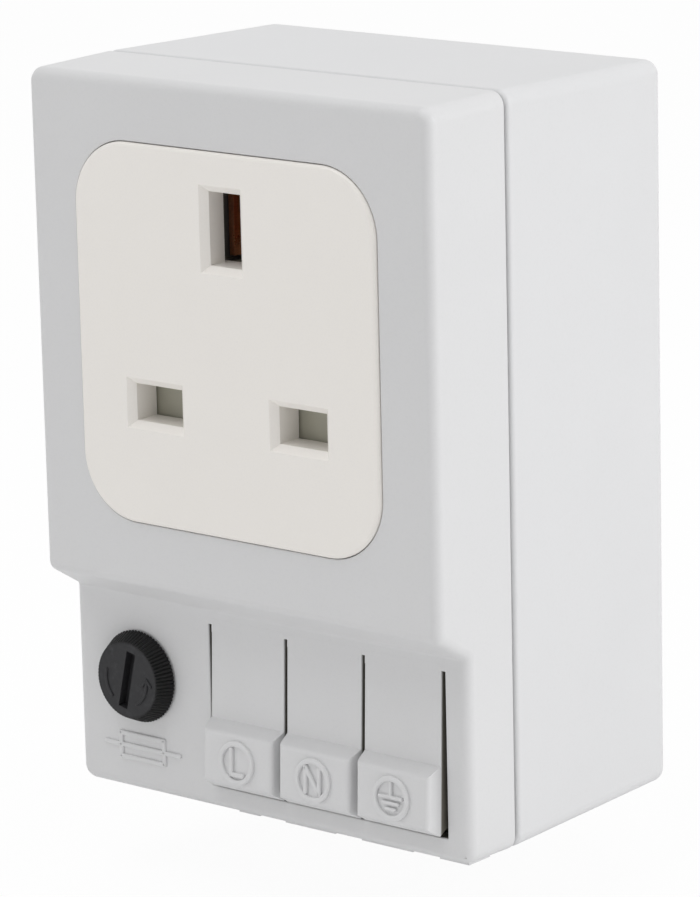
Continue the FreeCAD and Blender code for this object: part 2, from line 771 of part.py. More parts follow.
def make_rear_housing():
    """Rear half of the housing, with collar, screw towers, ribs, rail hook and latch guides."""
    body = new_body("rear_housing")
    depth = -REAR_RIM
    outside = outer_shell(body, "housing_outline", REAR_RIM, depth, S["housing_draft"], True)
    wall = S["housing_wall"]
    rounded = dress(
        body,
        "Fillet",
        "housing_back_edges",
        outside,
        lambda middle, direction, edge: near(middle.y, 0),
        S["housing_edge"],
    )
    dress(
        body,
        "Fillet",
        "housing_seam_edges",
        rounded,
        lambda middle, direction, edge: near(middle.y, REAR_RIM),
        S["seam_edge_back"],
    )
    cut_hollow(body, "housing_hollow", REAR_RIM, depth - wall, wall, BOTTOM + wall, False)

    collar = new_sketch(body, "collar", "XZ_Plane", -(REAR_RIM + S["collar_root"]))
    outer = S["cover_wall"] + S["collar_clearance"]
    inner = outer + S["collar_wall"]
    draw_rectangle(collar, outer - HALF_WIDTH, HALF_WIDTH - outer, BOTTOM + outer, TOP - outer)
    draw_rectangle(collar, inner - HALF_WIDTH, HALF_WIDTH - inner, BOTTOM + inner, TOP - inner)
    pad(body, collar, S["collar_root"] + S["seam_gap"] + S["collar_reach"])

    notch = new_sketch(body, "collar_notch", "XZ_Plane", -REAR_RIM)
    notch_inset = S["entry_boss_inset"] / 2
    notch_top = BOTTOM + inner + notch_inset
    draw_rectangle(notch, WINDOW_LEFT + notch_inset, WINDOW_RIGHT - notch_inset, BOTTOM, notch_top)
    pocket(body, notch, REAR_RIM - COLLAR_FRONT + PAST, backwards=True)

    towers = new_sketch(body, "screw_towers", "XZ_Plane", wall / 2)
    heads = new_sketch(body, "screw_tower_heads", "XZ_Plane", wall / 2)
    for x, z in SCREWS:
        draw_circle(towers, x, z, S["tower_radius"])
        draw_circle(heads, x, z, S["tower_head_radius"])
    pad(body, towers, -COLLAR_FRONT - wall / 2)
    pad(body, heads, S["screw_head_depth"] + wall / 2)
    shanks = new_sketch(body, "screw_holes", "XZ_Plane", 0)
    sinks = new_sketch(body, "screw_sinks", "XZ_Plane", 0)
    for x, z in SCREWS:
        draw_circle(shanks, x, z, S["screw_shank_radius"] + S["screw_clearance"])
        draw_circle(sinks, x, z, S["screw_head_radius"] + S["screw_clearance"])
    pocket(body, shanks, S["housing_depth"], backwards=True)
    pocket(body, sinks, S["screw_head_depth"] - S["screw_shoulder"], backwards=True)

    make_ribs(body)
    make_rail_foot(body)
    return body


def make_ribs(body):
    """Ribs inside the rear housing that hold the socket, terminal block and fuse holder."""
    wall_middle = S["housing_wall"] / 2
    seat_gap = S["tower_gap"]
    posts = new_sketch(body, "socket_posts", "XZ_Plane", wall_middle)
    half_width = S["socket_post_width"] / 2
    half_height = S["socket_post_height"] / 2
    for x in ((FUSE_X + NEUTRAL_X) / 2, (LIVE_X + EARTH_RISER_X) / 2):
        for z in (
            PLATE_Z - SOCKET_HALF_HEIGHT + S["socket_post_foot_inset"],
            PLATE_Z + SOCKET_HALF_HEIGHT - S["socket_post_top_inset"],
        ):
            draw_rectangle(posts, x - half_width, x + half_width, z - half_height, z + half_height)
    pad(body, posts, -wall_middle - SOCKET_BACK - seat_gap)

    ribs = new_sketch(body, "block_ribs", "XZ_Plane", wall_middle)
    half = S["block_rib_thickness"] / 2
    rib_top = CHAMBER_FLOOR + S["block_rib_rise"]
    for x in (BUTTON_X[0] + BUTTON_PITCH / 2, BUTTON_X[1] + BUTTON_PITCH / 2):
        draw_rectangle(ribs, x - half, x + half, BOTTOM + wall_middle, rib_top)
    pad(body, ribs, -wall_middle - BLOCK_BACK - seat_gap)

    rest = new_sketch(body, "fuse_rest", "XZ_Plane", wall_middle)
    half = S["holder_rest_width"] / 2
    draw_rectangle(rest, FUSE_X - half, FUSE_X + half, FUSE_Z - half, FUSE_Z + half)
    rest_front = HOLDER_BACK + S["strip_thickness"] + seat_gap
    pad(body, rest, -wall_middle - rest_front)


def make_rail_foot(body):
    """Fixed hook over the rail's upper edge, and guides and spring lug for the latch."""
    sunk = -S["housing_wall"] / 2
    hook_foot = RAIL_TOP + S["rail_clearance"]
    hook_top = hook_foot + S["hook_height"]
    lip_back = LIP_FRONT + S["hook_lip"]
    hook = new_sketch(body, "rail_hook", "YZ_Plane")
    draw_polygon(
        hook,
        [
            (sunk, hook_foot),
            (LIP_FRONT, hook_foot),
            (LIP_FRONT, RAIL_TOP - S["hook_lap"]),
            (LIP_FRONT + S["hook_nose"], RAIL_TOP - S["hook_lap"]),
            (lip_back, RAIL_TOP - S["hook_lap"] + S["hook_lead_in"]),
            (lip_back, hook_top - S["hook_edge"]),
            (lip_back - S["hook_edge"], hook_top),
            (sunk, hook_top),
        ],
    )
    pad(body, hook, S["hook_width"], both_ways=True)

    guide_top = LATCH_TOP - S["guide_drop"]
    guides = new_sketch(body, "latch_guides", "XY_Plane", guide_top)
    inside = S["latch_width"] / 2 + S["latch_clearance"]
    outside = inside + S["guide_wall"]
    lip_inside = inside - S["guide_lip"]
    lip = LATCH_BACK + S["latch_clearance"]
    lip_end = lip + S["guide_lip_thickness"]
    for side in (-1, 1):
        draw_polygon(
            guides,
            [
                (side * inside, sunk),
                (side * outside, sunk),
                (side * outside, lip_end),
                (side * lip_inside, lip_end),
                (side * lip_inside, lip),
                (side * inside, lip),
            ],
        )
    pad(body, guides, S["guide_length"], backwards=True)

    lug = new_sketch(body, "spring_lug", "XY_Plane", SPRING_LUG_FOOT)
    half = S["latch_slot_width"] / 2 - S["latch_clearance"]
    draw_rectangle(lug, -half, half, sunk, LATCH_BACK)
    pad(body, lug, S["spring_lug_height"])


def make_socket_plate():
    """White insert of the socket with its three pin slots and a flange behind the cover."""
    body = new_body("socket_plate")
    seat = FRONT + S["cover_wall"] + S["flange_clearance"]
    face = new_sketch(body, "plate_face", "XZ_Plane", -PLATE_BACK)
    half_width = S["plate_width"] / 2
    half_height = S["plate_height"] / 2
    draw_rectangle(
        face,
        PLATE_X - half_width,
        PLATE_X + half_width,
        PLATE_Z - half_height,
        PLATE_Z + half_height,
    )
    plate = pad(body, face, PLATE_BACK - PLATE_FRONT)
    rounded = dress(body, "Fillet", "plate_corners", plate, along_depth, S["plate_corner"])
    dress(
        body,
        "Fillet",
        "plate_edge",
        rounded,
        lambda middle, direction, edge: near(middle.y, PLATE_FRONT),
        S["plate_edge"],
    )
    flange = new_sketch(body, "plate_flange", "XZ_Plane", -PLATE_BACK)
    margin = S["flange_margin"]
    corner = S["plate_corner"]
    left = PLATE_X - half_width - margin
    right = PLATE_X + half_width + margin
    low = PLATE_Z - half_height - margin
    high = PLATE_Z + half_height + margin
    draw_polygon(
        flange,
        [
            (left + corner, low),
            (right - corner, low),
            (right - corner / 2, low + corner / 4),
            (right - corner / 4, low + corner / 2),
            (right, low + corner),
            (right, high - corner),
            (right - corner / 4, high - corner / 2),
            (right - corner / 2, high - corner / 4),
            (right - corner, high),
            (left + corner, high),
            (left + corner / 2, high - corner / 4),
            (left + corner / 4, high - corner / 2),
            (left, high - corner),
            (left, low + corner),
            (left + corner / 4, low + corner / 2),
            (left + corner / 2, low + corner / 4),
        ],
    )
    pad(body, flange, PLATE_BACK - seat)

    recess = new_sketch(body, "earth_recess", "XZ_Plane", -PLATE_BACK)
    half_width = EARTH_ROOM_WIDTH / 2
    half_height = EARTH_ROOM_HEIGHT / 2
    draw_rectangle(
        recess,
        PLATE_X - half_width,
        PLATE_X + half_width,
        EARTH_Z - half_height,
        EARTH_Z + half_height,
    )
    pocket(body, recess, S["earth_recess"], backwards=True)

    slots = new_sketch(body, "pin_slots", "XZ_Plane", -PLATE_FRONT)
    places = [
        (LIVE_X, LINE_Z, S["line_slot_width"], S["line_slot_height"]),
        (NEUTRAL_X, LINE_Z, S["line_slot_width"], S["line_slot_height"]),
        (PLATE_X, EARTH_Z, S["earth_slot_width"], S["earth_slot_height"]),
    ]
    for x, z, width, height in places:
        draw_rectangle(slots, x - width / 2, x + width / 2, z - height / 2, z + height / 2)
    slotted = pocket(body, slots, (PLATE_BACK - PLATE_FRONT) * 2)
    reach = float(S["earth_slot_height"])

    def beside_slot(middle, direction, edge):
        for x, z, width, height in places:
            close = abs(middle.x - float(x)) < reach and abs(middle.z - float(z)) < reach
            if close and near(middle.y, PLATE_FRONT) and edge.Length < reach + 0.1:
                return True
        return False

    dress(body, "Chamfer", "slot_lead_in", slotted, beside_slot, S["slot_lead_in"])
    screws = new_sketch(body, "plate_screw_holes", "XZ_Plane", -PLATE_BACK)
    for x, z in SOCKET_SCREWS:
        draw_circle(screws, x, z, S["socket_screw_shank_radius"] + S["thread_clearance"])
    pocket(body, screws, S["socket_screw_bite"] + S["screw_clearance"], backwards=True)
    return body


def make_socket_body():
    """Insulating body behind the plate, with the shutter's track and the contacts' chambers."""
    body = new_body("socket_body")
    outline = new_sketch(body, "body_outline", "XZ_Plane", -SOCKET_BACK)
    draw_rectangle(
        outline,
        PLATE_X - SOCKET_HALF_WIDTH,
        PLATE_X + SOCKET_HALF_WIDTH,
        PLATE_Z - SOCKET_HALF_HEIGHT,
        PLATE_Z + SOCKET_HALF_HEIGHT,
    )
    block = pad(body, outline, SOCKET_BACK - SOCKET_FRONT)
    dress(body, "Chamfer", "body_corners", block, along_depth, S["plate_corner"] / 2)

    track = new_sketch(body, "shutter_track", "XZ_Plane", -SOCKET_FRONT)
    side_room = S["shutter_side_room"]
    wing = SHUTTER_WING + side_room
    stem = S["shutter_stem_width"] + side_room
    track_foot = SHUTTER_FOOT - S["shutter_travel"] - side_room
    track_top = SHUTTER_WING_TOP + side_room
    draw_polygon(
        track,
        [
            (PLATE_X - wing, track_foot),
            (PLATE_X + wing, track_foot),
            (PLATE_X + wing, track_top),
            (PLATE_X + stem, track_top),
            (PLATE_X + stem, EARTH_Z),
            (PLATE_X - stem, EARTH_Z),
            (PLATE_X - stem, track_top),
            (PLATE_X - wing, track_top),
        ],
    )
    pocket(body, track, CHAMBER_FRONT - SOCKET_FRONT)

    chambers = new_sketch(body, "line_chambers", "XZ_Plane", -CHAMBER_FRONT)
    half_width = S["line_contact_width"] / 2 + S["chamber_side_room"]
    half_height = (
        S["line_contact_gap"] / 2
        + S["line_contact_flare"]
        + S["strip_thickness"]
        + S["contact_clearance"]
    )
    for x in (LIVE_X, NEUTRAL_X):
        low, high = LINE_Z - half_height, LINE_Z + half_height
        draw_rectangle(chambers, x - half_width, x + half_width, low, high)
    pocket(body, chambers, CONTACT_BACK - CHAMBER_FRONT + S["tail_clearance"])

    earth = new_sketch(body, "earth_chamber", "XZ_Plane", -SOCKET_FRONT)
    half_width = EARTH_ROOM_WIDTH / 2
    half_height = EARTH_ROOM_HEIGHT / 2
    draw_rectangle(
        earth,
        PLATE_X - half_width,
        PLATE_X + half_width,
        EARTH_Z - half_height,
        EARTH_Z + half_height,
    )
    pocket(body, earth, CONTACT_BACK - SOCKET_FRONT + S["tail_clearance"])
    lug_room = new_sketch(body, "lug_room", "XZ_Plane", -CHAMBER_FRONT)
    half_width = S["earth_contact_gap"] / 2 - S["tail_clearance"]
    lug_foot = SHUTTER_LUG_FOOT - S["shutter_travel"] - side_room
    draw_rectangle(lug_room, PLATE_X - half_width, PLATE_X + half_width, lug_foot, EARTH_Z)
    pocket(body, lug_room, S["shutter_lug_depth"] + side_room)

    spring_room = new_sketch(body, "spring_room", "XZ_Plane", -SOCKET_FRONT)
    half_width = SHUTTER_SPRING_ROOM
    spring_foot = SHUTTER_FOOT - S["shutter_spring_length"] - S["spring_seat_gap"] * 2
    draw_rectangle(spring_room, PLATE_X - half_width, PLATE_X + half_width, spring_foot, SHUTTER_FOOT)
    pocket(body, spring_room, half_width * 2)

    tails = new_sketch(body, "tail_slots", "XZ_Plane", -SOCKET_BACK)
    half = S["bar_width"] / 2 + S["tail_clearance"]
    thick = S["strip_thickness"] / 2 + S["tail_clearance"]
    for x in (LIVE_X, NEUTRAL_X):
        draw_rectangle(tails, x - half, x + half, LINE_Z - thick, LINE_Z + thick)
    draw_rectangle(tails, PLATE_X - thick, PLATE_X + thick, EARTH_Z - half, EARTH_Z + half)
    pocket(body, tails, SOCKET_BACK - CONTACT_BACK + PAST, backwards=True)

    holes = new_sketch(body, "body_screw_holes", "XZ_Plane", -SOCKET_BACK)
    sinks = new_sketch(body, "body_screw_sinks", "XZ_Plane", -SOCKET_BACK)
    room = S["screw_clearance"] / 2
    for x, z in SOCKET_SCREWS:
        draw_circle(holes, x, z, S["socket_screw_shank_radius"] + room)
        draw_circle(sinks, x, z, S["socket_screw_head_radius"] + room)
    pocket(body, holes, S["socket_body_depth"] + PAST, backwards=True)
    sink = S["socket_screw_head_height"] + S["socket_screw_recess"]
    pocket(body, sinks, sink, backwards=True)
    return body


def make_pin_shutter():
    """Shutter over the line slots, pushed down by the earth pin on its sloping lug."""
    depth = (SHUTTER_FRONT, SHUTTER_BACK)
    wings = box(
        "shutter_wings",
        (PLATE_X - SHUTTER_WING, PLATE_X + SHUTTER_WING),
        depth,
        (SHUTTER_FOOT, SHUTTER_WING_TOP),
    )
    stem_width = S["shutter_stem_width"]
    stem = box(
        "shutter_stem",
        (PLATE_X - stem_width, PLATE_X + stem_width),
        depth,
        (SHUTTER_WING_TOP - PAST, SHUTTER_STEM_TOP),
    )
    lug = new_body("shutter_lug")
    profile = new_sketch(lug, "lug_profile", "YZ_Plane", PLATE_X)
    lug_back = CHAMBER_FRONT + S["shutter_lug_depth"]
    lug_front = SHUTTER_BACK - S["shutter_lug_root"]
    draw_polygon(
        profile,
        [
            (lug_front, SHUTTER_LUG_FOOT),
            (lug_back, SHUTTER_LUG_FOOT),
            (lug_back, EARTH_Z + S["shutter_lug_rise"]),
            (lug_front, SHUTTER_STEM_TOP - S["shutter_gap"]),
        ],
    )
    pad(lug, profile, S["earth_contact_gap"] - S["shutter_lug_clearance"] * 2, both_ways=True)
    return join("pin_shutter", [wings, stem, lug])


def make_pin_contact(name, x, z, kind, mouth, upright):
    """U-shaped contact with flared lips that grips one pin, and a tail out of the back."""
    width = S[f"{kind}_contact_width"]
    gap = S[f"{kind}_contact_gap"]
    flare = S[f"{kind}_contact_flare"]
    body = new_body(name)
    plane, middle = ("YZ_Plane", x) if upright else ("XY_Plane", z)
    centre = z if upright else x
    thick = S["strip_thickness"]
    half = gap / 2
    throat = mouth + S["contact_mouth_depth"]
    back = CONTACT_BACK
    depth_side = [
        (mouth, half + flare),
        (mouth, half + flare + thick),
        (throat, half + thick),
        (back, half + thick),
    ]
    inner_side = [
        (back - thick, half),
        (throat, half),
    ]
    upper = [(depth, centre + side) for depth, side in depth_side]
    lower = [(depth, centre - side) for depth, side in reversed(depth_side)]
    lower_inner = [(depth, centre - side) for depth, side in reversed(inner_side)]
    upper_inner = [(depth, centre + side) for depth, side in inner_side]
    outline = upper + lower + lower_inner + upper_inner
    if not upright:
        outline = [(side, depth) for depth, side in outline]
    profile = new_sketch(body, name + "_profile", plane, middle)
    draw_polygon(profile, outline)
    pad(body, profile, width, both_ways=True)

    tail = new_sketch(body, name + "_tail", plane, middle)
    tail_points = [
        (back - thick, centre - thick / 2),
        (BAR_FRONT, centre - thick / 2),
        (BAR_FRONT, centre + thick / 2),
        (back - thick, centre + thick / 2),
    ]
    if not upright:
        tail_points = [(side, depth) for depth, side in tail_points]
    draw_polygon(tail, tail_points)
    pad(body, tail, S["bar_width"], both_ways=True)
    return body


def make_button(name, x):
    """Spring tongue with a raised pad, hinged on the cover, and two fingers behind it."""
    body = new_body(name)
    half = (BUTTON_PITCH - S["button_slit"]) / 2
    drop = S["button_hinge_height"]
    foot = S["pad_foot_height"] - drop
    pad_top = S["pad_top_height"] - drop
    face = -S["button_root_thickness"] / 2
    back = face + S["button_thickness"]

    profile = new_sketch(body, name + "_tongue", "YZ_Plane")
    draw_polygon(
        profile,
        [
            (face, -S["button_hinge_gap"]),
            (face, foot),
            (back, foot + S["tongue_foot_slope"]),
            (back, -S["button_root_thickness"] * 2.5),
            (-face, -S["button_root_thickness"] * 1.5),
            (-face, -S["button_hinge_gap"]),
        ],
    )
    tongue = pad(body, profile, half * 2, both_ways=True)
    dress(
        body,
        "Fillet",
        name + "_side_edges",
        tongue,
        lambda middle, direction, edge: near(middle.y, face) and abs(direction.z) > 0.99,
        S["button_edge"],
    )

    sunk = 0.1
    base = new_sketch(body, name + "_pad_base", "XZ_Plane", -face - sunk)
    draw_rectangle(base, -half, half, foot, pad_top)
    front = new_sketch(body, name + "_pad_front", "XZ_Plane", S["pad_rise"] - face)
    slope = S["pad_side_slope"]
    front_foot = foot + S["pad_foot_slope"]
    front_top = pad_top - S["pad_top_slope"]
    draw_rectangle(front, slope - half, half - slope, front_foot, front_top)
    raised = body.newObject("PartDesign::AdditiveLoft", name + "_pad")
    raised.Profile = base
    raised.Sections = [front]
    raised.Ruled = True
    pad_front = face - S["pad_rise"]
    dress(
        body,
        "Fillet",
        name + "_pad_edges",
        raised,
        lambda middle, direction, edge: near(middle.y, pad_front),
        S["pad_edge"],
    )
    ring = new_sketch(body, name + "_ring", "XZ_Plane", S["pad_rise"] - face - sunk)
    ring_z = (front_foot + front_top) / 2 - S["ring_drop"]
    draw_circle(ring, 0, ring_z, S["ring_radius"])
    draw_circle(ring, 0, ring_z, S["ring_radius"] - S["ring_width"])
    ringed = pad(body, ring, S["ring_rise"] + sunk)
    ring_front = pad_front - S["ring_rise"]
    dress(
        body,
        "Fillet",
        name + "_ring_edges",
        ringed,
        lambda middle, direction, edge: near(middle.y, ring_front),
        S["ring_edge"],
    )

    fingers = new_sketch(body, name + "_fingers", "XZ_Plane", sunk - back)
    low = foot + S["finger_lift"] - S["finger_height"] / 2
    for side in (-1, 1):
        left = side * FINGER_SPREAD - S["finger_width"] / 2
        draw_rectangle(fingers, left, left + S["finger_width"], low, low + S["finger_height"])
    pad(body, fingers, S["finger_reach"] + sunk, backwards=True)
    bind(body, "Placement.Rotation.Angle", -S["button_tilt"])
    bind(body, "Placement.Rotation.Axis.x", 1)
    bind(body, "Placement.Rotation.Axis.y", 0)
    bind(body, "Placement.Rotation.Axis.z", 0)
    place(body, x, HINGE_Y, HINGE_Z)
    return body


def make_terminal_block():
    """Insulating block with a chamber for each wire clamp."""
    half_row = BUTTON_PITCH * 1.5
    room = S["block_clearance"]
    block = box(
        "block_outside",
        (ROW_X - half_row, ROW_X + half_row),
        (BLOCK_FRONT, BLOCK_BACK),
        (ENTRY_TOP + room, BLOCK_TOP),
    )
    cuts = []
    for index, x in enumerate(BUTTON_X):
        half = CHAMBER_WIDTH / 2
        inner_back = BLOCK_BACK - S["block_wall"]
        chamber = (CHAMBER_FLOOR, CHAMBER_ROOF)
        depth = (BLOCK_FRONT - PAST, inner_back)
        cuts.append(box(f"chamber_{index}", (x - half, x + half), depth, chamber))
        hole = doc.addObject("Part::Cylinder", f"block_entry_{index}")
        bind(hole, "Radius", S["entry_radius"] + S["entry_clearance"])
        bind(hole, "Height", CHAMBER_FLOOR - ENTRY_TOP + PAST * 2)
        place(hole, x, ENTRY_Y, ENTRY_TOP - PAST)
        cuts.append(hole)
    bar_slot = (TOP_BAR_FOOT - room, CHAMBER_ROOF)
    reach = CLAMP_PLATE_WIDTH / 2 + room
    for index, x in enumerate(BUTTON_X[1:], start=1):
        depth = (BLOCK_FRONT, BLOCK_BACK + PAST)
        cuts.append(box(f"bar_slot_{index}", (x - reach, x + reach), depth, bar_slot))
    left = BUTTON_X[0] - half_row
    side = (BLOCK_FRONT - PAST, CLAMP_PLATE_FRONT + S["supply_bar_width"] + room)
    cuts.append(box("bar_slot_0", (left, BUTTON_X[0]), side, bar_slot))
    return subtract("terminal_block", block, cuts)


def make_clamp_spring(name, x):
    """Bent strip that presses the wire forwards onto the clamp plate."""
    width = float(CLAMP_SPRING_WIDTH)
    thick = float(S["clamp_spring_thickness"])
    radius = float(S["clamp_spring_loop"])
    slope = math.radians(float(S["clamp_spring_slope"]))
    back_y = float(BLOCK_BACK - S["block_wall"] - S["clamp_spring_seat_gap"]) - thick / 2
    loop_z = float(TOP_BAR_FOOT - S["block_clearance"]) - thick / 2 - radius
    centre = Vector(0, back_y - radius, loop_z)
    start = Vector(0, back_y, loop_z - float(S["clamp_spring_back_leg"]))
    turn_start = Vector(0, back_y, loop_z)
    turn_middle = centre + Vector(0, 0, radius)
    turn_end = centre + Vector(0, -radius * math.sin(slope), radius * math.cos(slope))
    leg = float(S["clamp_spring_leg"])
    tip = turn_end + Vector(0, -leg * math.cos(slope), -leg * math.sin(slope))
    path = Part.Wire(
        [
            Part.LineSegment(start, turn_start).toShape(),
            Part.Arc(turn_start, turn_middle, turn_end).toShape(),
            Part.LineSegment(turn_end, tip).toShape(),
        ]
    )
    corners = [
        start + Vector(-width / 2, -thick / 2, 0),
        start + Vector(width / 2, -thick / 2, 0),
        start + Vector(width / 2, thick / 2, 0),
        start + Vector(-width / 2, thick / 2, 0),
    ]
    section = Part.makePolygon(corners + corners[:1])
    item = doc.addObject("Part::Feature", name)
    item.Label = name
    item.Shape = path.makePipeShell([section], True, False)
    place(item, x, 0, 0)
    return item


def clamp_plate(name, x):
    """Upright plate that the wire is pressed onto."""
    half = CLAMP_PLATE_WIDTH / 2
    return box(
        name,
        (x - half, x + half),
        (CLAMP_PLATE_FRONT, CLAMP_PLATE_BACK),
        (CHAMBER_FLOOR + S["block_clearance"] * 2, TOP_BAR_TOP),
    )


def make_live_supply_bar():
    """Bar from the live clamp to the side contact of the fuse holder."""
    x = BUTTON_X[0]
    half = CLAMP_PLATE_WIDTH / 2
    start = FUSE_X + S["holder_radius"] + S["side_contact_reach"] + S["side_contact_room"]
    run = box(
        "live_supply_run",
        (start, x + half),
        (CLAMP_PLATE_FRONT, CLAMP_PLATE_FRONT + S["supply_bar_width"]),
        (TOP_BAR_FOOT, TOP_BAR_TOP),
    )
    return join("live_supply_bar", [clamp_plate("live_clamp_plate", x), run])


def riser(name, x, z):
    """Flat bar upright behind the socket body and the terminal block."""
    half = S["bar_width"] / 2
    return box(name, (x - half, x + half), (BLOCK_BACK, BLOCK_BACK + S["strip_thickness"]), z)


def make_neutral_bar():
    """Bar from the neutral clamp to the tail of the neutral contact."""
    x = BUTTON_X[1]
    half = S["bar_width"] / 2
    back = BLOCK_BACK + S["strip_thickness"]
    thick = CLAMP_PLATE_WIDTH / 2
    turn_foot = BLOCK_TOP - S["bar_turn_drop"]
    turn_z = (turn_foot, turn_foot + S["bar_width"])
    pieces = [
        clamp_plate("neutral_clamp_plate", x),
        box("neutral_top", (x - thick, x + thick), (CLAMP_PLATE_FRONT, back), (TOP_BAR_FOOT, TOP_BAR_TOP)),
        riser("neutral_rise", x, (TOP_BAR_FOOT, turn_z[1])),
        box("neutral_run", (NEUTRAL_X - half, x + half), (BLOCK_BACK, back), turn_z),
        riser("neutral_end", NEUTRAL_X, (turn_z[0], LINE_Z + half)),
    ]
    return join("neutral_bar", pieces)


def make_earth_bar():
    """Bar from the earth clamp to the tail of the earth contact."""
    x = BUTTON_X[2]
    half = S["bar_width"] / 2
    back = BLOCK_BACK + S["strip_thickness"]
    thick = CLAMP_PLATE_WIDTH / 2
    run_z = (EARTH_Z - half, EARTH_Z + half)
    pieces = [
        clamp_plate("earth_clamp_plate", x),
        box("earth_top", (x - thick, x + thick), (CLAMP_PLATE_FRONT, back), (TOP_BAR_FOOT, TOP_BAR_TOP)),
        riser("earth_rise", EARTH_RISER_X, (TOP_BAR_FOOT, run_z[1])),
        box("earth_run", (PLATE_X - half, EARTH_RISER_X + half), (BLOCK_BACK, back), run_z),
    ]
    return join("earth_bar", pieces)


def make_fused_live_bar():
    """Bar from the back of the fuse holder to the tail of the live contact."""
    half = S["bar_width"] / 2
    front = HOLDER_BACK - S["strip_thickness"]
    foot = FUSE_Z + S["fuse_tail_rise"]
    level = (LINE_Z - half, LINE_Z + half)
    thick = S["strip_thickness"] / 2
    tail_level = (LINE_Z - thick, LINE_Z + thick)
    pieces = [
        box("fused_rise", (FUSE_X - half, FUSE_X + half), (front, HOLDER_BACK), (foot, level[1])),
        box("fused_run", (FUSE_X - half, LIVE_X + half), (front, HOLDER_BACK), level),
        box("fused_end", (LIVE_X - half, LIVE_X + half), (BAR_FRONT, HOLDER_BACK), tail_level),
    ]
    return join("fused_live_bar", pieces)


def make_fuse_holder():
    """Insulating sleeve for the fuse, with a flange behind the panel."""
    outside = rod("holder_tube", FUSE_X, FUSE_Z, (PANEL, HOLDER_BACK), S["holder_radius"])
    seat = PANEL_BACK + S["holder_seat_gap"]
    flange = rod(
        "holder_flange",
        FUSE_X,
        FUSE_Z,
        (seat, seat + S["holder_flange_depth"]),
        S["holder_flange_radius"],
    )
    mouth = rod(
        "holder_mouth_bore",
        FUSE_X,
        FUSE_Z,
        (PANEL - PAST, PANEL + S["holder_mouth_depth"]),
        S["holder_mouth"],
    )
    bore = rod("holder_bore_cut", FUSE_X, FUSE_Z, (PANEL, HOLDER_BACK + PAST), S["holder_bore"])
    room = S["side_contact_room"]
    half = S["side_contact_width"] / 2 + room
    contact_y = side_contact_depth()
    slot = box(
        "side_slot",
        (FUSE_X, FUSE_X + S["holder_flange_radius"] + PAST),
        (contact_y[0] - room, contact_y[1] + room),
        (FUSE_Z - half, FUSE_Z + half),
    )
    return subtract("fuse_holder", join("holder_outside", [outside, flange]), [mouth, bore, slot])


def side_contact_depth():
    """Where the side contact lies along the fuse, just behind the cap's nose."""
    start = CAP_UNDERSIDE + S["cap_nose_length"] + S["side_contact_setback"]
    return (start, start + S["strip_thickness"])


def make_fuse_side_contact():
    """Leaf through the sleeve's side that touches the cap's clip."""
    inner = FUSE_X + S["fuse_radius"] + S["cap_clip_wall"] + S["side_contact_gap"]
    outer = FUSE_X + S["holder_radius"] + S["side_contact_reach"]
    half = S["side_contact_width"] / 2
    depth = side_contact_depth()
    thick = S["strip_thickness"]
    leaf = box("side_leaf", (inner, outer), depth, (FUSE_Z - half, FUSE_Z + half))
    tab = box("side_tab", (outer - thick, outer + thick * 3), depth, (TOP_BAR_FOOT - thick, TOP_BAR_FOOT))
    return join("fuse_side_contact", [leaf, tab])


def make_fuse_end_contact():
    """Dished contact that the back of the fuse rests on, with its tail up the holder's end."""
    depth = (FUSE_BACK + S["end_contact_gap"], HOLDER_BACK + S["end_contact_lap"])
    button = rod("end_button", FUSE_X, FUSE_Z, depth, S["fuse_radius"] - S["end_contact_inset"])
    half = S["bar_width"] / 2
    tail = box(
        "end_tail",
        (FUSE_X - half, FUSE_X + half),
        (HOLDER_BACK, HOLDER_BACK + S["strip_thickness"]),
        (FUSE_Z - S["fuse_tail_drop"], FUSE_Z + S["fuse_tail_rise"] + S["fuse_tail_lap"]),
    )
    return join("fuse_end_contact", [button, tail])


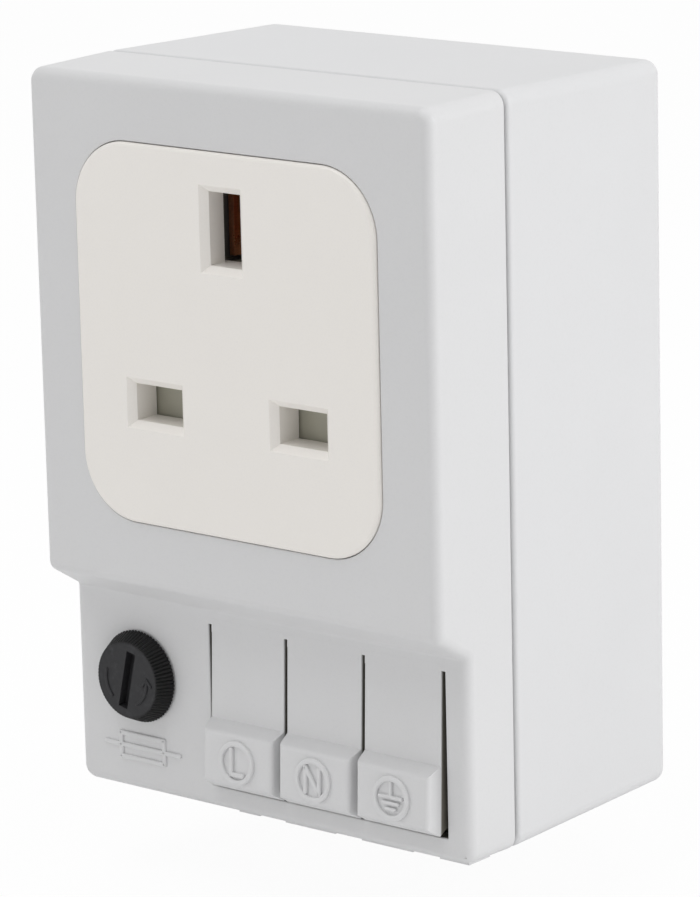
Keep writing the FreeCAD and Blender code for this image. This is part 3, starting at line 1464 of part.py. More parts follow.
def make_fuse_cap():
    """Black cap with a knurled rim, a screwdriver slot and a nose that holds the fuse."""
    body = new_body("fuse_cap")
    clip = S["fuse_radius"] + S["cap_clip_wall"]
    half_section = new_sketch(body, "cap_section", "YZ_Plane")
    rise = S["cap_rise"]
    gap = S["cap_underside_gap"]
    seat = S["fuse_set_back"] - S["cap_clip_wall"]
    nose_end = S["cap_nose_length"] - gap
    draw_polygon(
        half_section,
        [
            (-rise, 0),
            (-rise, S["cap_front_radius"]),
            (-gap, S["cap_radius"]),
            (-gap, S["cap_nose_radius"]),
            (nose_end, S["cap_nose_radius"]),
            (nose_end, clip),
            (seat, clip),
            (seat, 0),
        ],
    )
    turned = body.newObject("PartDesign::Revolution", "cap_turned")
    turned.Profile = half_section
    turned.ReferenceAxis = (half_section, ["H_Axis"])
    turned.Angle = 360
    half_section.Visibility = False
    dress(
        body,
        "Fillet",
        "cap_front_edge",
        turned,
        lambda middle, direction, edge: near(middle.y, -rise),
        S["cap_edge"],
    )
    slot = new_sketch(body, "cap_slot", "XZ_Plane", rise)
    half_width = S["cap_slot_width"] / 2
    half_length = S["cap_slot_length"] / 2
    draw_rectangle(slot, -half_width, half_width, -half_length, half_length)
    bind(slot, "AttachmentOffset.Rotation.Angle", -S["cap_slot_tilt"])
    pocket(body, slot, S["cap_slot_depth"])

    depth = S["knurl_depth"]
    spread = S["knurl_width"]
    sections = []
    for end, forward, radius in (
        ("back", gap, S["cap_radius"]),
        ("front", rise, S["cap_front_radius"]),
    ):
        section = new_sketch(body, "knurl_" + end, "XZ_Plane", forward)
        draw_polygon(
            section,
            [
                (radius - depth, 0),
                (radius + depth, -spread),
                (radius + depth, spread),
            ],
        )
        sections.append(section)
    notch = body.newObject("PartDesign::SubtractiveLoft", "knurl_notch")
    notch.Profile = sections[0]
    notch.Sections = sections[1:]
    notch.Ruled = True
    pattern = body.newObject("PartDesign::PolarPattern", "knurl")
    pattern.Originals = [notch]
    pattern.Axis = (sections[0], ["N_Axis"])
    pattern.Angle = 360
    bind(pattern, "Occurrences", S["knurl_count"])
    body.Tip = pattern
    place(body, FUSE_X, PANEL, FUSE_Z)
    return body


def make_fuse_cap_clip():
    """Metal clip in the cap's nose that grips the front end of the fuse."""
    front = PANEL + S["fuse_set_back"] - S["cap_clip_wall"]
    outside = rod(
        "clip_outside",
        FUSE_X,
        FUSE_Z,
        (front, front + S["cap_clip_length"]),
        S["fuse_radius"] + S["cap_clip_wall"],
    )
    inside = rod(
        "clip_inside",
        FUSE_X,
        FUSE_Z,
        (FUSE_FRONT, front + S["cap_clip_length"] + PAST),
        S["fuse_radius"] + S["cap_clip_grip_gap"],
    )
    return subtract("fuse_cap_clip", outside, [inside])


def make_fuse_glass():
    """Glass tube of the fuse."""
    wall = S["fuse_end_wall"]
    radius = S["fuse_radius"] - wall
    span = (FUSE_FRONT + wall, FUSE_BACK - wall)
    tube = rod("glass_outside", FUSE_X, FUSE_Z, span, radius)
    bore = rod("glass_inside", FUSE_X, FUSE_Z, span, radius - S["fuse_glass_wall"])
    return subtract("fuse_glass", tube, [bore])


def make_fuse_end_caps():
    """The two metal end caps of the fuse."""
    wall = S["fuse_end_wall"]
    length = S["fuse_end_length"]
    radius = S["fuse_radius"]
    caps = []
    spans = [
        ("front", (FUSE_FRONT, FUSE_FRONT + length), (FUSE_FRONT + wall, FUSE_FRONT + length + PAST)),
        ("back", (FUSE_BACK - length, FUSE_BACK), (FUSE_BACK - length - PAST, FUSE_BACK - wall)),
    ]
    for name, outside, inside in spans:
        solid = rod(f"end_cap_{name}_outside", FUSE_X, FUSE_Z, outside, radius)
        hollow = rod(f"end_cap_{name}_inside", FUSE_X, FUSE_Z, inside, radius - wall)
        caps.append(subtract(f"end_cap_{name}", solid, [hollow]))
    return group("fuse_end_caps", caps)


def make_fuse_element():
    """Fuse wire stretched between the end caps."""
    wall = S["fuse_end_wall"]
    wire = rod("fuse_element", FUSE_X, FUSE_Z, (FUSE_FRONT + wall, FUSE_BACK - wall), S["fuse_wire_radius"])
    wire.Label = "fuse_element"
    return wire


def make_rail_latch():
    """Sliding latch that hooks under the rail's lower edge, with a slot for a screwdriver."""
    body = new_body("rail_latch")
    profile = new_sketch(body, "latch_profile", "YZ_Plane")
    lip_top = RAIL_FOOT + S["latch_lap"]
    draw_polygon(
        profile,
        [
            (LATCH_FRONT, LATCH_FOOT),
            (LATCH_BACK, LATCH_FOOT),
            (LATCH_BACK, LATCH_TOP - S["latch_lead_in"]),
            (LIP_FRONT + S["latch_nose"], lip_top),
            (LIP_FRONT, lip_top),
            (LIP_FRONT, LATCH_TOP),
            (LATCH_FRONT, LATCH_TOP),
        ],
    )
    pad(body, profile, S["latch_width"], both_ways=True)
    slot = new_sketch(body, "latch_spring_slot", "XZ_Plane", -LATCH_BACK)
    half = S["latch_slot_width"] / 2
    draw_rectangle(slot, -half, half, LATCH_SLOT_FOOT, LATCH_SLOT_TOP)
    pocket(body, slot, S["latch_thickness"] * 2, backwards=True)
    tool = new_sketch(body, "tool_slot", "XZ_Plane", -LATCH_BACK)
    half = S["tool_slot_width"] / 2
    low = LATCH_FOOT + S["tool_slot_height"]
    draw_rectangle(tool, -half, half, low, low + S["tool_slot_height"])
    pocket(body, tool, S["latch_thickness"] * 2, backwards=True)
    return body


def coil_spring(name, x, y, foot, length, radius, turns):
    """One unbroken coil of round wire, upright, as a tube along arcs of a quarter turn."""
    wire = float(S["spring_wire_radius"])
    radius = float(radius)
    rise = (float(length) - 2 * wire) / float(turns)
    steps = int(float(turns) * 4)
    lead = rise / (2 * math.pi)

    def at(angle):
        return Vector(radius * math.cos(angle), radius * math.sin(angle), wire + lead * angle)

    def heading(angle):
        way = Vector(-radius * math.sin(angle), radius * math.cos(angle), lead)
        return way.normalize()

    edges = []
    points = []
    for step in range(steps):
        first, last = step * math.pi / 2, (step + 1) * math.pi / 2
        start, end = at(first), at(last)
        way_in, way_out = heading(first), heading(last)
        span = end - start
        ways = way_in + way_out
        bend = 2 * (1 - way_in.dot(way_out))
        across = span.dot(ways)
        reach = (-across + math.sqrt(across**2 + bend * span.dot(span))) / bend
        joint = (start + way_in * reach + end - way_out * reach) * 0.5
        for arc_start, arc_end, way in ((start, joint, way_in), (joint, end, None)):
            corner = start + way_in * reach if way else end - way_out * reach
            chord_middle = (arc_start + arc_end) * 0.5
            half_chord = (arc_end - arc_start).Length / 2
            height = (corner - chord_middle).Length
            sagitta = half_chord * (math.sqrt(half_chord**2 + height**2) - half_chord) / height
            through = chord_middle + (corner - chord_middle).normalize() * sagitta
            edges.append(Part.Arc(arc_start, through, arc_end).toShape())
            points.extend([arc_start, through])
    path = Part.Wire(edges)
    section = Part.Wire([Part.Circle(at(0), heading(0), wire).toShape()])
    item = doc.addObject("Part::Feature", name)
    item.Label = name
    item.Shape = path.makePipeShell([section], True, False)
    place(item, x, y, foot)
    apart = min(
        (first - second).Length
        for index, first in enumerate(points)
        for second in points[index + 8:]
    )
    print(f"{name}: least gap between turns {apart - 2 * wire:.2f} mm")
    return item


def make_housing_screws():
    """Four screws from the back that hold the cover on the rear housing."""
    screws = []
    seat = S["screw_shoulder"] - S["screw_head_depth"]
    tip = COLLAR_FRONT - S["screw_reach"]
    for index, (x, z) in enumerate(SCREWS):
        screws.append(screw(f"housing_screw_{index}", x, z, tip, seat, "screw"))
    return group("housing_screws", screws)


def make_socket_screws():
    """Two screws that hold the socket body on its plate."""
    screws = []
    seat = SOCKET_BACK - S["socket_screw_head_height"] - S["socket_screw_recess"]
    tip = PLATE_BACK - S["socket_screw_bite"]
    for index, (x, z) in enumerate(SOCKET_SCREWS):
        screws.append(screw(f"socket_screw_{index}", x, z, tip, seat, "socket_screw"))
    return group("socket_screws", screws)


def screw(name, x, z, tip, seat, kind):
    """A pan-head screw that points forwards, with a square recess in its head."""
    shank = rod(name + "_shank", x, z, (tip, seat + S[f"{kind}_head_height"] / 2), S[f"{kind}_shank_radius"])
    head_end = seat + S[f"{kind}_head_height"]
    head = rod(name + "_head", x, z, (seat, head_end), S[f"{kind}_head_radius"])
    half = S["screw_recess_radius"]
    recess = box(
        name + "_recess",
        (x - half, x + half),
        (head_end - S["screw_recess_depth"], head_end + PAST),
        (z - half, z + half),
    )
    return subtract(name, join(name + "_blank", [shank, head]), [recess])


def make_parts():
    """Every piece of the socket, in the order in which it would come apart."""
    poles = list(zip(("live", "neutral", "earth"), BUTTON_X))
    parts = [make_front_cover(), make_rear_housing(), make_housing_screws()]
    parts += [make_socket_plate(), make_socket_body(), make_socket_screws()]
    parts.append(make_pin_shutter())
    parts.append(
        coil_spring(
            "shutter_spring",
            PLATE_X,
            SOCKET_FRONT + SHUTTER_SPRING_ROOM,
            SHUTTER_FOOT - S["shutter_spring_length"] - S["spring_seat_gap"],
            S["shutter_spring_length"],
            S["shutter_spring_radius"],
            S["shutter_spring_turns"],
        )
    )
    line_mouth = CHAMBER_FRONT + S["line_contact_setback"]
    earth_mouth = PLATE_BACK + S["earth_contact_setback"]
    parts.append(make_pin_contact("live_contact", LIVE_X, LINE_Z, "line", line_mouth, True))
    parts.append(make_pin_contact("neutral_contact", NEUTRAL_X, LINE_Z, "line", line_mouth, True))
    parts.append(make_pin_contact("earth_contact", PLATE_X, EARTH_Z, "earth", earth_mouth, False))
    for pole, x in poles:
        parts.append(make_button(f"{pole}_button", x))
        parts.append(make_clamp_spring(f"{pole}_clamp_spring", x))
    parts.append(make_terminal_block())
    parts += [make_live_supply_bar(), make_neutral_bar(), make_earth_bar(), make_fused_live_bar()]
    parts += [make_fuse_holder(), make_fuse_side_contact(), make_fuse_end_contact()]
    parts += [make_fuse_cap(), make_fuse_cap_clip(), make_fuse_glass()]
    parts += [make_fuse_end_caps(), make_fuse_element()]
    parts.append(make_rail_latch())
    parts.append(
        coil_spring(
            "latch_spring",
            0,
            (LATCH_FRONT + LATCH_BACK) / 2,
            SPRING_LUG_TOP + S["spring_seat_gap"],
            LATCH_SLOT_TOP - SPRING_LUG_TOP - S["spring_seat_gap"] * 2,
            S["latch_spring_radius"],
            S["latch_spring_turns"],
        )
    )
    return parts


def check(parts):
    """Stops if any object failed or any piece isn't a sound solid."""
    doc.recompute()
    for item in doc.Objects:
        if "Invalid" in item.State or "Error" in item.State:
            raise RuntimeError(f"{item.Name} failed: {item.State}")
    for part in parts:
        if part.Shape.isNull() or not part.Shape.isValid() or not part.Shape.Solids:
            raise RuntimeError(f"{part.Label} has no sound shape")


def export(parts):
    """Writes each piece under its own name."""
    os.makedirs("parts", exist_ok=True)
    for part in parts:
        part.Shape.exportStep(f"parts/{part.Label}.step")


PARTS = make_parts()
check(PARTS)
export(PARTS)
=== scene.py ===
import json
import math

import bmesh
import bpy
from mathutils import Matrix, Vector


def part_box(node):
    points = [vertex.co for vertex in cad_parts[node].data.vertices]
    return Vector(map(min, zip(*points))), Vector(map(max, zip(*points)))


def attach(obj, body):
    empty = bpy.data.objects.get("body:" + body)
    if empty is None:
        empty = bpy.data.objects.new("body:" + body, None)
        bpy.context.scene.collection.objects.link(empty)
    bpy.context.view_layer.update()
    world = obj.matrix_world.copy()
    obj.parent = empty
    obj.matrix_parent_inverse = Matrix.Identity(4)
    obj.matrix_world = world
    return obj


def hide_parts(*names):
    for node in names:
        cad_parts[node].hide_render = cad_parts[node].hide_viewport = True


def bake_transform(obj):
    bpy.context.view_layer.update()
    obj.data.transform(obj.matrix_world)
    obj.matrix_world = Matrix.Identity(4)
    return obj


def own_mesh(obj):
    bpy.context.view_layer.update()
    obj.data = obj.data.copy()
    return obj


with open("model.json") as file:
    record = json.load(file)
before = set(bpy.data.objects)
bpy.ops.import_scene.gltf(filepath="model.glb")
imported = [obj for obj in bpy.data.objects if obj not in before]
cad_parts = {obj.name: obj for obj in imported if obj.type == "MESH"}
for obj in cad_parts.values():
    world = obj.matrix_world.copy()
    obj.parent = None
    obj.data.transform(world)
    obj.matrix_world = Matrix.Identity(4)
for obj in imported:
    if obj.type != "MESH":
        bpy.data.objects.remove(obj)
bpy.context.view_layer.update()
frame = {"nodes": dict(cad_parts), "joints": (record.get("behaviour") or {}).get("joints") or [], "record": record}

MM = 0.001
MICRON = 0.001 * MM
WHITE = (1.0, 1.0, 1.0)
POLES = ("live", "neutral", "earth")

# The buttons' hinges and the middle of the cap's face, in metres, from the frame
JOINT_PLACES = {
    joint["name"]: Vector(joint["pos_m"]) for joint in frame["joints"] if "pos_m" in joint
}
HINGES = {pole: JOINT_PLACES[f"{pole}_button_press"] for pole in POLES}
CAP_AXIS = JOINT_PLACES["fuse_cap_turn"]
CAP_FACE = Vector((CAP_AXIS.x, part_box("fuse_cap")[0].y, CAP_AXIS.z))

# Places on the lower panel and on a button, in millimetres; the button's count from its hinge
PANEL_Y = -39.75
FUSE_MARK = (-20.2, PANEL_Y, -39.4)
CAP_FACE_RADIUS = 4.8
BUTTON_TILT = math.radians(-2.4)
BUTTON_HALF_WIDTH = 5.7
TONGUE_FACE = -0.5
PAD_FRONT = -2.45
RING_Z = -15.9

# Inside the housing the plastic gets a painted shade, from some depth on and between its walls
INSIDE_PAINTED_SHADE = (0.150, 0.140, 0.118)
INSIDE_DEPTHS = (0.1, 0.35)
INSIDE_HALF_WIDTH = 29.8
INSIDE_HALF_HEIGHT = 44.1


# Node helpers


def new_material(name):
    """A material with its tree, its shader and its object coordinates."""
    material = bpy.data.materials.new(name)
    material.use_nodes = True
    tree = material.node_tree
    shader = tree.nodes["Principled BSDF"]
    coordinates = tree.nodes.new("ShaderNodeTexCoord").outputs["Object"]
    return material, tree, shader, coordinates


def noise(tree, coordinates, scale, detail=2.0, roughness=0.5):
    """Values of a noise field of so many cells per metre."""
    node = tree.nodes.new("ShaderNodeTexNoise")
    node.inputs["Scale"].default_value = scale
    node.inputs["Detail"].default_value = detail
    node.inputs["Roughness"].default_value = roughness
    tree.links.new(coordinates, node.inputs["Vector"])
    return node.outputs["Fac"]


# Most values of a noise field lie between these
NOISE_SPREAD = (0.3, 0.7)


def stretched(tree, coordinates, scale):
    """Coordinates scaled along each axis."""
    node = tree.nodes.new("ShaderNodeMapping")
    node.inputs["Scale"].default_value = scale
    tree.links.new(coordinates, node.inputs["Vector"])
    return node.outputs["Vector"]


def ramp(tree, value, places, colours):
    """A colour read from a value that goes from one place to another, each with its colour."""
    node = tree.nodes.new("ShaderNodeValToRGB")
    for element, place, colour in zip(node.color_ramp.elements, places, colours):
        element.position = place
        element.color = (*colour, 1.0)
    tree.links.new(value, node.inputs["Fac"])
    return node.outputs["Color"]


def mapped(tree, value, given, wanted=(0.0, 1.0)):
    """A value of one range spread over another range."""
    node = tree.nodes.new("ShaderNodeMapRange")
    ends = ("From Min", "From Max", "To Min", "To Max")
    for end, place in zip(ends, (*given, *wanted)):
        node.inputs[end].default_value = place
    tree.links.new(value, node.inputs["Value"])
    return node.outputs["Result"]


# The sockets of a Mix node's colour mode, by number, because its other modes use the same names
MIX_FACTOR, MIX_FIRST, MIX_SECOND = 0, 6, 7
MIX_RESULT = 2


def mixed(tree, factor, first, second, blend="MIX"):
    """Two colours mixed, each a socket or a plain colour."""
    node = tree.nodes.new("ShaderNodeMix")
    node.data_type = "RGBA"
    node.blend_type = blend
    for index, source in ((MIX_FACTOR, factor), (MIX_FIRST, first), (MIX_SECOND, second)):
        socket = node.inputs[index]
        if isinstance(source, bpy.types.NodeSocket):
            tree.links.new(source, socket)
        elif index == MIX_FACTOR:
            socket.default_value = source
        else:
            socket.default_value = (*source, 1.0)
    return node.outputs[MIX_RESULT]


def bump(tree, height, distance, strength=1.0, normal=None):
    """A normal from a height field, whose full height is given in metres."""
    node = tree.nodes.new("ShaderNodeBump")
    node.inputs["Strength"].default_value = strength
    node.inputs["Distance"].default_value = distance
    tree.links.new(height, node.inputs["Height"])
    if normal is not None:
        tree.links.new(normal, node.inputs["Normal"])
    return node.outputs["Normal"]


def calculated(tree, operation, first, second=0.0):
    """The result of one sum on a value and a value or number."""
    node = tree.nodes.new("ShaderNodeMath")
    node.operation = operation
    tree.links.new(first, node.inputs[0])
    if isinstance(second, bpy.types.NodeSocket):
        tree.links.new(second, node.inputs[1])
    else:
        node.inputs[1].default_value = second
    return node.outputs[0]


def painted_shade_mask(tree, coordinates, tilt):
    """How far a point of the cover or of a button lies inside the housing, from 0 to 1, which is the share of its
    painted shade.
    """
    split = tree.nodes.new("ShaderNodeSeparateXYZ")
    tree.links.new(coordinates, split.inputs[0])
    across, depth, height = split.outputs
    drop = calculated(tree, "SUBTRACT", height, HINGES["live"].z)
    face = calculated(tree, "MULTIPLY", drop, -math.tan(tilt))
    from_panel = calculated(tree, "SUBTRACT", depth, PANEL_Y * MM)
    inward = calculated(tree, "SUBTRACT", from_panel, face)
    inner = mapped(tree, inward, [limit * MM for limit in INSIDE_DEPTHS])
    for place, reach in ((across, INSIDE_HALF_WIDTH), (height, INSIDE_HALF_HEIGHT)):
        near = calculated(tree, "LESS_THAN", calculated(tree, "ABSOLUTE", place), reach * MM)
        inner = calculated(tree, "MULTIPLY", inner, near)
    return inner


def shade(colour, factor):
    """A colour made lighter or darker."""
    return tuple(min(1.0, channel * factor) for channel in colour)


def grey(level):
    """A colour with no hue."""
    return (level, level, level)


# Materials


def moulded_plastic(name, colour, roughness, grain, grain_depth, mottle=0.008, tilt=None):
    """Moulded plastic with an eroded mould's grain and a faint unevenness of colour and gloss.

    The grain is given in cells per metre and its depth in microns. A tilt paints a shade on the plastic
    behind a front that leans by so much.
    """
    material, tree, shader, coordinates = new_material(name)
    broad = noise(tree, coordinates, 55.0, detail=3.0)
    fine = noise(tree, coordinates, grain, roughness=0.6)
    tones = (shade(colour, 1 - mottle), shade(colour, 1 + mottle))
    base = ramp(tree, broad, NOISE_SPREAD, tones)
    specks = ramp(tree, fine, (0.32, 0.5), (grey(0.985), WHITE))
    surface = mixed(tree, 1.0, base, specks, "MULTIPLY")
    if tilt is not None:
        # Painted shade that darkens the slits and gaps behind the front
        surface = mixed(tree, painted_shade_mask(tree, coordinates, tilt), surface, INSIDE_PAINTED_SHADE)
    tree.links.new(surface, shader.inputs["Base Color"])
    gloss = mapped(tree, fine, NOISE_SPREAD, (roughness - 0.04, roughness + 0.05))
    tree.links.new(gloss, shader.inputs["Roughness"])
    swell = noise(tree, coordinates, 90.0, detail=1.0)
    waves = bump(tree, swell, 20 * MICRON, strength=0.4)
    grained = bump(tree, fine, grain_depth * MICRON, normal=waves)
    tree.links.new(grained, shader.inputs["Normal"])
    return material


def black_cap(name, colour, rim_colour):
    """Black moulded plastic, darker on the knurled rim, with a trace of dust on the face."""
    material, tree, shader, coordinates = new_material(name)
    away = tree.nodes.new("ShaderNodeVectorMath")
    away.operation = "SUBTRACT"
    away.inputs[1].default_value = CAP_FACE
    tree.links.new(coordinates, away.inputs[0])
    reach = tree.nodes.new("ShaderNodeVectorMath")
    reach.operation = "LENGTH"
    on_face = stretched(tree, away.outputs["Vector"], (1.0, 0.0, 1.0))
    tree.links.new(on_face, reach.inputs[0])
    rim_ends = ((CAP_FACE_RADIUS - 0.35) * MM, (CAP_FACE_RADIUS + 0.1) * MM)
    rim = mapped(tree, reach.outputs["Value"], rim_ends)
    fine = noise(tree, coordinates, 1900.0, detail=3.0, roughness=0.6)
    specks = noise(tree, coordinates, 700.0, detail=4.0, roughness=0.7)
    dust = ramp(tree, specks, (0.55, 0.8), (colour, shade(colour, 1.9)))
    tree.links.new(mixed(tree, rim, dust, rim_colour), shader.inputs["Base Color"])
    gloss = mapped(tree, fine, NOISE_SPREAD, (0.46, 0.62))
    tree.links.new(gloss, shader.inputs["Roughness"])
    tree.links.new(bump(tree, fine, 12 * MICRON, strength=0.8), shader.inputs["Normal"])
    shader.inputs["Specular IOR Level"].default_value = 0.3
    return material


def metal(name, colour, roughness, line_scale, tarnish):
    """Rolled or drawn metal with fine lines along one axis and spots of tarnish."""
    material, tree, shader, coordinates = new_material(name)
    lines = noise(tree, stretched(tree, coordinates, line_scale), 1.0, detail=3.0)
    spots = noise(tree, coordinates, 260.0, detail=4.0)
    clean = ramp(tree, lines, NOISE_SPREAD, (shade(colour, 0.9), shade(colour, 1.08)))
    mask = ramp(tree, spots, (0.5, 0.75), (grey(0.0), grey(0.5)))
    tree.links.new(mixed(tree, mask, clean, tarnish), shader.inputs["Base Color"])
    gloss = mapped(tree, spots, NOISE_SPREAD, (roughness - 0.04, roughness + 0.12))
    tree.links.new(gloss, shader.inputs["Roughness"])
    tree.links.new(bump(tree, lines, 4 * MICRON, strength=0.6), shader.inputs["Normal"])
    shader.inputs["Metallic"].default_value = 1.0
    return material


def clear_glass(name):
    """Clear tube glass with faint drawn streaks."""
    material, tree, shader, coordinates = new_material(name)
    streaks = noise(tree, stretched(tree, coordinates, (2500.0, 60.0, 2500.0)), 1.0)
    tint = ramp(tree, streaks, NOISE_SPREAD, ((0.90, 0.95, 0.94), (0.97, 0.99, 0.98)))
    tree.links.new(tint, shader.inputs["Base Color"])
    gloss = mapped(tree, streaks, NOISE_SPREAD, (0.02, 0.06))
    tree.links.new(gloss, shader.inputs["Roughness"])
    shader.inputs["Transmission Weight"].default_value = 1.0
    shader.inputs["IOR"].default_value = 1.5
    return material


HOUSING = moulded_plastic(
    "housing plastic", (0.688, 0.689, 0.697), roughness=0.44, grain=2600.0, grain_depth=5
)
COVER = moulded_plastic(
    "cover plastic", (0.687, 0.687, 0.693), roughness=0.42, grain=2600.0, grain_depth=5, tilt=0.0
)
BUTTON = moulded_plastic(
    "button plastic",
    (0.690, 0.690, 0.696),
    roughness=0.38,
    grain=3000.0,
    grain_depth=4,
    tilt=BUTTON_TILT,
)
INSERT = moulded_plastic(
    "insert plastic",
    (0.893, 0.862, 0.820),
    roughness=0.33,
    grain=3600.0,
    grain_depth=2,
    mottle=0.004,
)
SHUTTER = moulded_plastic(
    "shutter plastic", (0.40, 0.39, 0.32), roughness=0.45, grain=3000.0, grain_depth=6
)
INNER = moulded_plastic(
    "inner plastic", (0.10, 0.095, 0.088), roughness=0.50, grain=2200.0, grain_depth=10
)
HOLDER = moulded_plastic(
    "holder plastic", (0.020, 0.020, 0.021), roughness=0.45, grain=2400.0, grain_depth=10
)
LATCH = moulded_plastic(
    "latch plastic",
    (0.060, 0.062, 0.066),
    roughness=0.45,
    grain=2400.0,
    grain_depth=12,
    mottle=0.05,
)
CAP = black_cap("cap plastic", colour=(0.022, 0.022, 0.024), rim_colour=grey(0.004))
BRASS = metal(
    "contact brass",
    (0.80, 0.60, 0.30),
    roughness=0.28,
    line_scale=(80.0, 4000.0, 4000.0),
    tarnish=(0.42, 0.27, 0.13),
)
COPPER = metal(
    "earth copper",
    (0.62, 0.30, 0.17),
    roughness=0.30,
    line_scale=(4000.0, 80.0, 4000.0),
    tarnish=(0.20, 0.09, 0.05),
)
SPRING = metal(
    "spring steel",
    (0.62, 0.62, 0.61),
    roughness=0.25,
    line_scale=(1500.0, 1500.0, 1500.0),
    tarnish=(0.33, 0.31, 0.29),
)
SCREW = metal(
    "screw steel",
    (0.66, 0.66, 0.62),
    roughness=0.30,
    line_scale=(1800.0, 400.0, 1800.0),
    tarnish=(0.40, 0.38, 0.30),
)
NICKEL = metal(
    "end cap nickel",
    (0.76, 0.74, 0.70),
    roughness=0.16,
    line_scale=(600.0, 3000.0, 600.0),
    tarnish=(0.45, 0.42, 0.36),
)
FUSE_WIRE = metal(
    "fuse wire",
    (0.70, 0.70, 0.68),
    roughness=0.25,
    line_scale=(900.0, 900.0, 900.0),
    tarnish=(0.40, 0.40, 0.38),
)
GLASS = clear_glass("fuse glass")

SLOT_MATERIALS = {
    "housing_grey": HOUSING,
    "insert_white": INSERT,
    "shutter_grey": SHUTTER,
    "inner_plastic": INNER,
    "holder_black": HOLDER,
    "cap_black": CAP,
    "latch_grey": LATCH,
    "contact_brass": BRASS,
    "earth_copper": COPPER,
    "spring_steel": SPRING,
    "screw_steel": SCREW,
    "end_cap_nickel": NICKEL,
    "fuse_wire": FUSE_WIRE,
    "fuse_glass": GLASS,
}
# Nodes of the grey slot whose plastic gets a painted shade inside the housing
NODE_MATERIALS = {
    "front_cover": COVER,
    "live_button": BUTTON,
    "neutral_button": BUTTON,
    "earth_button": BUTTON,
}


def dress_frame():
    """Gives every CAD node its material."""
    slots = {part["node"]: part["material_slot"] for part in frame["record"]["subparts"]}
    for name, node in frame["nodes"].items():
        material = NODE_MATERIALS.get(name, SLOT_MATERIALS[slots[name]])
        node.data.materials.clear()
        node.data.materials.append(material)


def new_piece(name, mesh, material):
    """An object in the scene made from a finished bmesh, which is used up."""
    bmesh.ops.recalc_face_normals(mesh, faces=mesh.faces)
    data = bpy.data.meshes.new(name)
    mesh.to_mesh(data)
    mesh.free()
    data.materials.append(material)
    piece = bpy.data.objects.new(name, data)
    bpy.context.scene.collection.objects.link(piece)
    return piece


# Raised marks

# A raised stroke's section, from its foot, sunk into the face, to its top: each row gives its
# reach as a share of half the width and its height as a share of the depth
DOME = [(1.0, -0.3), (1.0, 0.35), (0.95, 0.62), (0.82, 0.84), (0.58, 0.96), (0.28, 1.0)]
END_STEPS = 7
ARC_STEPS = 10


def stroke_outline(path, reach):
    """A closed outline at some distance round a path, with half-round ends."""
    points = []
    for way in (path, path[::-1]):
        for index, point in enumerate(way):
            along = way[min(index + 1, len(way) - 1)] - way[max(index - 1, 0)]
            side = Vector((along.y, -along.x)).normalized()
            points.append(point + side * reach)
        start = math.atan2(side.y, side.x)
        for step in range(1, END_STEPS):
            turn = start + math.pi * step / END_STEPS
            points.append(way[-1] + Vector((math.cos(turn), math.sin(turn))) * reach)
    return points


def add_stroke(mesh, path, width, depth):
    """A raised stroke with a domed section along a path of a plane."""
    path = [Vector(point) for point in path]
    loops = []
    for share, rise in DOME:
        outline = stroke_outline(path, width / 2 * share)
        loops.append([mesh.verts.new((p.x * MM, -rise * depth * MM, p.y * MM)) for p in outline])
    for lower, upper in zip(loops, loops[1:]):
        for index in range(len(lower)):
            following = (index + 1) % len(lower)
            mesh.faces.new((lower[index], lower[following], upper[following], upper[index]))
    mesh.faces.new(loops[-1])
    mesh.faces.new(loops[0][::-1])


def arc(radius, first, last):
    """Points along an arc round the middle, between two angles in degrees."""
    steps = range(ARC_STEPS + 1)
    turns = [math.radians(first + (last - first) * step / ARC_STEPS) for step in steps]
    return [(radius * math.cos(turn), radius * math.sin(turn)) for turn in turns]


def raised_mark(name, strokes, width, depth, place, material, body):
    """A mark made of raised strokes of one width, each given as its path."""
    mesh = bmesh.new()
    for path in strokes:
        add_stroke(mesh, path, width, depth)
    for face in mesh.faces:
        face.smooth = True
    piece = new_piece(name, mesh, material)
    piece.data.transform(place)
    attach(piece, body)


# Each button's mark: its strokes' width and their paths, from the middle of its ring
LETTER_STROKE = 0.62
SIGN_STROKE = 0.46
BUTTON_MARK_DEPTH = 0.4
BUTTON_MARKS = {
    "live": (
        LETTER_STROKE,
        [
            [(-0.75, 1.6), (-0.75, -1.45)],
            [(-0.75, -1.45), (1.0, -1.45)],
        ],
    ),
    "neutral": (
        LETTER_STROKE,
        [
            [(-1.05, -1.5), (-1.05, 1.5)],
            [(-1.05, 1.5), (1.05, -1.5)],
            [(1.05, -1.5), (1.05, 1.5)],
        ],
    ),
    "earth": (
        SIGN_STROKE,
        [
            [(0.0, 1.9), (0.0, 0.15)],
            [(-1.6, 0.15), (1.6, 0.15)],
            [(-1.1, -0.57), (1.1, -0.57)],
            [(-0.6, -1.29), (0.6, -1.29)],
        ],
    ),
}


def add_button_marks():
    """The letters and the earth sign inside the rings of the buttons."""
    on_pad = Matrix.Translation(Vector((0, PAD_FRONT, RING_Z)) * MM)
    for pole, (width, strokes) in BUTTON_MARKS.items():
        place = Matrix.Translation(HINGES[pole]) @ Matrix.Rotation(BUTTON_TILT, 4, "X") @ on_pad
        raised_mark(
            f"{pole}_mark",
            strokes,
            width,
            BUTTON_MARK_DEPTH,
            place,
            BUTTON,
            f"{pole}_button",
        )


def add_fuse_mark():
    """A generic sign of a fuse below its cap: a box with a line through it."""
    half_line, half_box, half_height = 6.0, 3.5, 1.5
    width, depth = 0.62, 0.28
    strokes = [
        [(-half_line, 0.0), (half_line, 0.0)],
        [(-half_box, half_height), (half_box, half_height)],
        [(-half_box, -half_height), (half_box, -half_height)],
        [(-half_box, -half_height), (-half_box, half_height)],
        [(half_box, -half_height), (half_box, half_height)],
    ]
    place = Matrix.Translation(Vector(FUSE_MARK) * MM)
    raised_mark("fuse_mark", strokes, width, depth, place, COVER, "housing")


